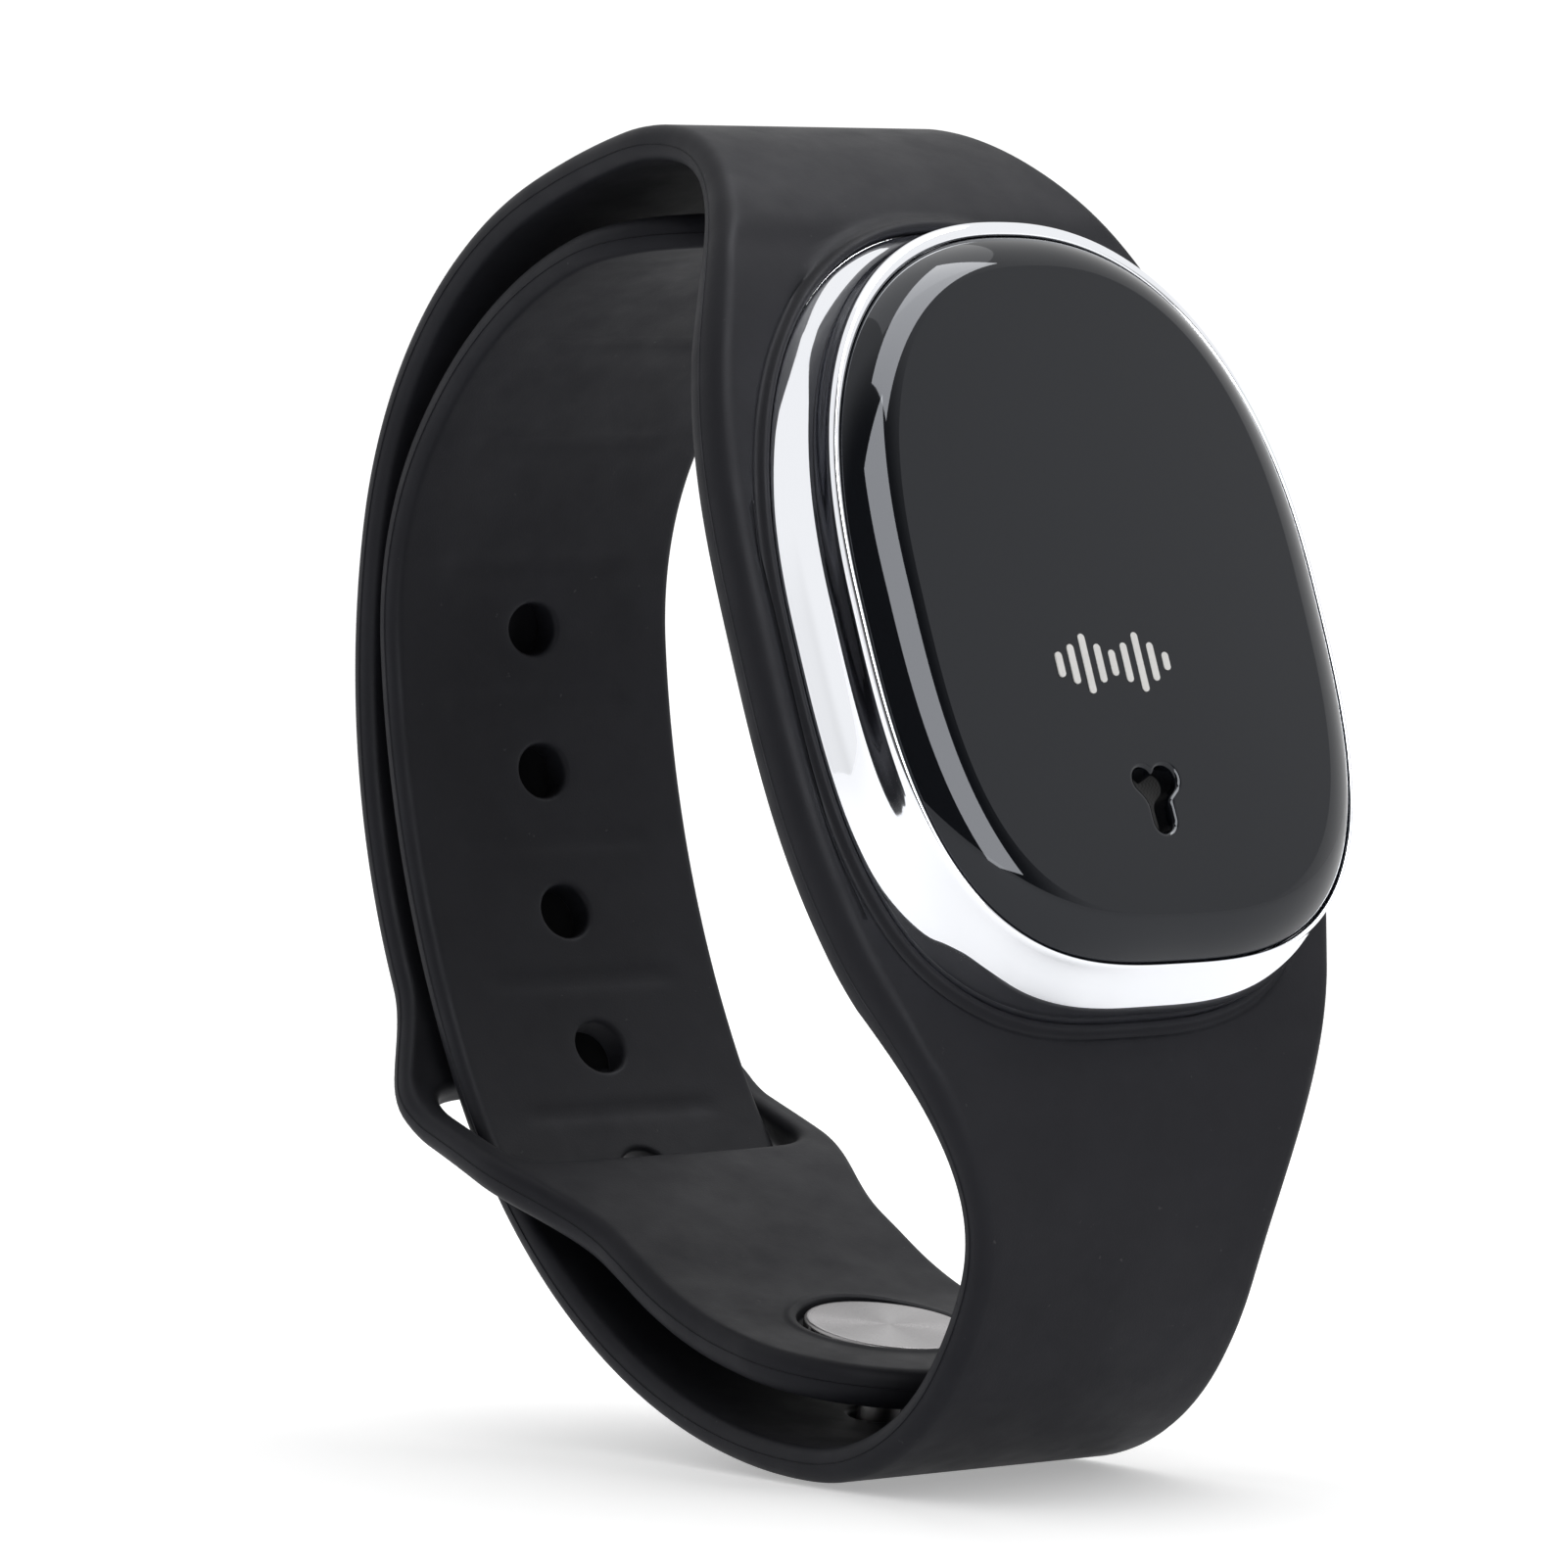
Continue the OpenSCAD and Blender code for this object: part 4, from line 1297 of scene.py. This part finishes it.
@dataclass
class StudDisc:
    """The stud's steel disc, with circular brushing and a softened rim, on its post."""

    material: bpy.types.Material
    radius: float = 4.4
    base: float = 1.65
    top: float = 2.4
    crown: float = 0.02
    pole: float = 0.001
    turns: int = 180

    def build(self) -> bpy.types.Object:
        """Make the disc: rings whose UV runs round in u and outwards in v, in millimetres."""
        stud = joint("stud_spin")
        origin, axis = mm(stud["pos_m"]), np.array(stud["axis"], float)
        across = np.array((1.0, 0, 0))
        along = np.cross(axis, across)
        wide, base, top = self.radius, self.base, self.top
        profile = [(self.pole, base), (wide - 0.05, base), (wide, base + 0.06),
                   (wide, top - 0.16), (wide - 0.05, top - 0.06), (wide - 0.15, top)]
        profile += [(r, top + self.crown * (1 - (r / wide) ** 2)) for r in np.linspace(wide - 0.3, self.pole, 22)]
        a = np.linspace(0, 2 * math.pi, self.turns, endpoint=False)
        pts = np.stack([origin + r * (np.cos(a)[:, None] * across + np.sin(a)[:, None] * along) + h * axis
                        for r, h in profile])
        obj = grid(pts, close_v=True).outward().piece("stud_face", self.material, 35)
        self.map_rings(obj, origin, across, along)
        return stand_in(obj, "stud_steel", "stud_disc", body="stud")

    def map_rings(self, obj: bpy.types.Object, origin: np.ndarray, across: np.ndarray, along: np.ndarray) -> None:
        """Add the UV map that follows the brushing.

        Args:
            obj: The disc.
            origin: Its centre.
            across: Direction of angle 0.
            along: Direction of a quarter turn.
        """
        mesh = obj.data
        co = np.empty(len(mesh.vertices) * 3)
        mesh.vertices.foreach_get("co", co)
        v = co.reshape(-1, 3) / MM - origin
        angle, reach = np.arctan2(v @ along, v @ across), np.hypot(v @ along, v @ across)
        corner = np.empty(len(mesh.loops), int)
        mesh.loops.foreach_get("vertex_index", corner)
        start = np.empty(len(mesh.polygons), int)
        total = np.empty(len(mesh.polygons), int)
        mesh.polygons.foreach_get("loop_start", start)
        mesh.polygons.foreach_get("loop_total", total)
        face = np.repeat(np.arange(len(start)), total)
        u = angle[corner]
        first = u[start][face]
        u = first + (u - first + math.pi) % (2 * math.pi) - math.pi
        uv = np.stack([u * 100 / (2 * math.pi), reach[corner]], -1)
        layer = mesh.uv_layers.new(name=TurnedSteel.uv_map)
        layer.data.foreach_set("uv", uv.reshape(-1))


@dataclass
class Dressing:
    """Finishes for the CAD pieces that keep their own meshes."""

    finishes: dict[str, object] = field(default_factory=lambda: {
        "white_mark": Moulded("white_print", (0.82, 0.81, 0.79), rough=0.4, contrast=0.03),
        "foam_and_tape": Moulded("foam_tape", (0.03, 0.03, 0.034), rough=0.9, grain_mm=0.05),
        "port_fabric": FineMesh(),
        "inner_rubber": Moulded("gasket_rubber", (0.02, 0.02, 0.022), rough=0.6),
        "brass_metal": Moulded("satin_brass", (0.78, 0.56, 0.24), rough=0.28, metallic=1.0, contrast=0.08),
        "inner_plastic": Moulded("inner_frame_plastic", (0.018, 0.018, 0.021), rough=0.5),
        "rear_plastic": Moulded("rear_cover_plastic", (0.014, 0.0145, 0.017), rough=0.3, grain_mm=0.006),
        "seal_rubber": Moulded("seal_cord_rubber", (0.40, 0.06, 0.035), rough=0.45),
        "stud_steel": Moulded("drawn_steel", (0.52, 0.51, 0.515), rough=0.3, metallic=1.0, contrast=0.1),
        "screw_steel": Moulded("screw_steel", (0.62, 0.62, 0.63), rough=0.25, metallic=1.0, contrast=0.1),
        "board_laminate": BoardLaminate(),
        "chip_plastic": Moulded("chip_package", (0.012, 0.012, 0.013), rough=0.55, grain_mm=0.02),
        "small_part_ceramic": Moulded("ceramic_parts", (0.30, 0.21, 0.13), rough=0.4, contrast=0.3),
        "led_resin": Moulded("led_phosphor", (0.85, 0.72, 0.25), rough=0.3),
        "clear_guide": Moulded("clear_light_guide", (0.92, 0.94, 0.95), rough=0.12, contrast=0.02, transmission=0.9),
        "cell_foil": Moulded("cell_pouch_foil", (0.66, 0.67, 0.69), rough=0.32, metallic=1.0, grain_per_mm=1.5,
                             grain_mm=0.06),
        "nickel": Moulded("nickel_strip", (0.66, 0.64, 0.60), rough=0.25, metallic=1.0),
        "gold_contact": Moulded("gold_contact", (0.90, 0.66, 0.28), rough=0.18, metallic=1.0, contrast=0.06),
    })

    def dress(self, done: dict[str, bpy.types.Material]) -> None:
        """Give each CAD piece its slot's material.

        Args:
            done: Materials already made, by slot.
        """
        made = dict(done)
        for part in frame["record"]["subparts"]:
            name = part["material_slot"]
            if name not in made:
                made[name] = self.finishes[name].material()
            obj = frame["nodes"][part["node"]]
            obj.data.materials.clear()
            obj.data.materials.append(made[name])
            LOG.info("dressed %s in %s", part["node"], made[name].name)


# ---- Studio -----------------------------------------------------------------------------------------------


@dataclass
class Studio:
    """Plain pale floor, soft boxes, world light and the camera."""

    eye: Triple = (-281.6, -357.4, 58.3)
    aim: Triple = (-2.0, 0.62, 34.57)
    lens_mm: float = 202.4
    floor_size: float = 12.0
    floor_glow: float = 0.35
    floor_gap: float = 0.0002
    middle: Triple = (0.0, -20.0, 42.0)
    reach: float = 620.0
    dim_way: Triple = (-0.62, -0.76, 0.15)
    dim_edge: tuple[float, float] = (0.35, 0.75)
    dim_levels: tuple[float, float] = (1.0, 0.1)
    backdrop: float = 1.05

    @staticmethod
    def placed(name: str, data: bpy.types.ID) -> bpy.types.Object:
        """Return a new object of the scene with this data."""
        obj = bpy.data.objects.new(name, data)
        bpy.context.scene.collection.objects.link(obj)
        return obj

    def camera(self) -> None:
        """Make the camera at the viewing angle."""
        data = bpy.data.cameras.new("camera")
        data.lens, data.sensor_width = self.lens_mm, 36.0
        data.clip_start, data.clip_end = 0.01, 20.0
        cam = self.placed("camera", data)
        cam.location = Vector(self.eye) * MM
        cam.rotation_mode = "QUATERNION"
        cam.rotation_quaternion = (Vector(self.aim) - Vector(self.eye)).to_track_quat("-Z", "Y")
        bpy.context.scene.camera = cam

    def floor(self) -> None:
        """Make the pale floor just under the band."""
        half = self.floor_size / 2
        low = CAD_BOX[0].z - self.floor_gap
        mesh = bpy.data.meshes.new("floor")
        mesh.from_pydata([(-half, -half, low), (half, -half, low), (half, half, low), (-half, half, low)], [],
                         [(0, 1, 2, 3)])
        pen = NodePen("floor_pale")
        pen.set(Base_Color=(0.93, 0.93, 0.93, 1), Roughness=0.9, Specular_IOR_Level=0.1,
                Emission_Color=(1, 1, 1, 1), Emission_Strength=self.floor_glow)
        mesh.materials.append(pen.material)
        self.placed("floor", mesh)

    def softbox(self, name: str, way: Sequence[float], run: Sequence[float], size: tuple[float, float],
                radiance: float, diffuse: bool = False) -> None:
        """Make a rectangular light that faces the band.

        Args:
            name: Name of the light.
            way: Direction from the band's middle to the light.
            run: Direction of the light's long side.
            size: Width and length in millimetres.
            radiance: Brightness of its face.
            diffuse: Whether it lights matt surfaces as well as showing in glossy ones.
        """
        data = bpy.data.lights.new(name, "AREA")
        data.shape, data.size, data.size_y = "RECTANGLE", size[0] * MM, size[1] * MM
        data.energy = radiance * math.pi * data.size * data.size_y
        obj = self.placed(name, data)
        obj.visible_diffuse = diffuse
        back = Vector(way).normalized()
        side = Vector(run).cross(back).normalized()
        turn = Matrix((side, back.cross(side), back)).transposed()
        place = (Vector(self.middle) + self.reach * back) * MM
        obj.matrix_world = Matrix.Translation(place) @ turn.to_4x4()

    def world(self) -> None:
        """Light the world pale, with a dim patch in front that keeps the gloss pieces dark."""
        world = bpy.data.worlds.new("studio")
        world.use_nodes = True
        tree = world.node_tree
        back = tree.nodes["Background"]
        back.inputs["Color"].default_value = (1, 1, 1, 1)

        def add(kind: str, **settings: object) -> Node:
            """Add a node with these attributes."""
            node = tree.nodes.new(kind)
            for key, value in settings.items():
                setattr(node, key, value)
            return node

        place = add("ShaderNodeTexCoord")
        along = add("ShaderNodeVectorMath", operation="DOT_PRODUCT")
        along.inputs[1].default_value = Vector(self.dim_way).normalized()
        tree.links.new(place.outputs["Generated"], along.inputs[0])
        fade = add("ShaderNodeMapRange", interpolation_type="SMOOTHSTEP")
        for key, value in zip(("From Min", "From Max", "To Min", "To Max"), (*self.dim_edge, *self.dim_levels)):
            fade.inputs[key].default_value = value
        tree.links.new(along.outputs["Value"], fade.inputs["Value"])
        ray = add("ShaderNodeLightPath")
        mix = add("ShaderNodeMix", data_type="FLOAT")
        mix.inputs[3].default_value = self.backdrop
        tree.links.new(ray.outputs["Is Camera Ray"], mix.inputs[0])
        tree.links.new(fade.outputs["Result"], mix.inputs[2])
        tree.links.new(mix.outputs[0], back.inputs["Strength"])
        bpy.context.scene.world = world

    def build(self) -> None:
        """Make everything round the object."""
        self.camera()
        self.floor()
        self.world()
        self.softbox("strip_left", (-0.30, -0.84, 0.43), (-0.241, 0.374, 0.856), (300, 690), 7.5)
        self.softbox("strip_top", (0.128, -0.257, 0.99), (0.674, 0.517, 0.047), (290, 580), 7.5)
        self.softbox("top_soft", (0.2, 0.25, 1.0), (1, 0, 0), (520, 520), 0.8, diffuse=True)
        bpy.context.scene.view_settings.view_transform = "Standard"


def main() -> None:
    """Build the band, the pod's shell and the stud, dress the rest, and set the studio."""
    pod = PodFrame()
    shape = BandShape(pod)
    silicone = Silicone().material()
    chrome, gloss, steel = Chrome().material(), GlossLens().material(), TurnedSteel().material()
    band = SiliconeBand(shape, silicone)
    pieces = [band.loop(), band.tab(), band.tail(), band.collar(), Bezel(pod, chrome).build(),
              Lens(pod, gloss).build(), StudDisc(steel).build()]
    for piece in pieces:
        LOG.info("%s: %d faces", piece.name, len(piece.data.polygons))
    Dressing().dress({"silicone": silicone, "bezel_chrome": chrome, "gloss_lens": gloss})
    Studio().build()


if __name__ == "__main__":
    logging.basicConfig(level=logging.INFO, format="%(name)s: %(message)s")
    main()
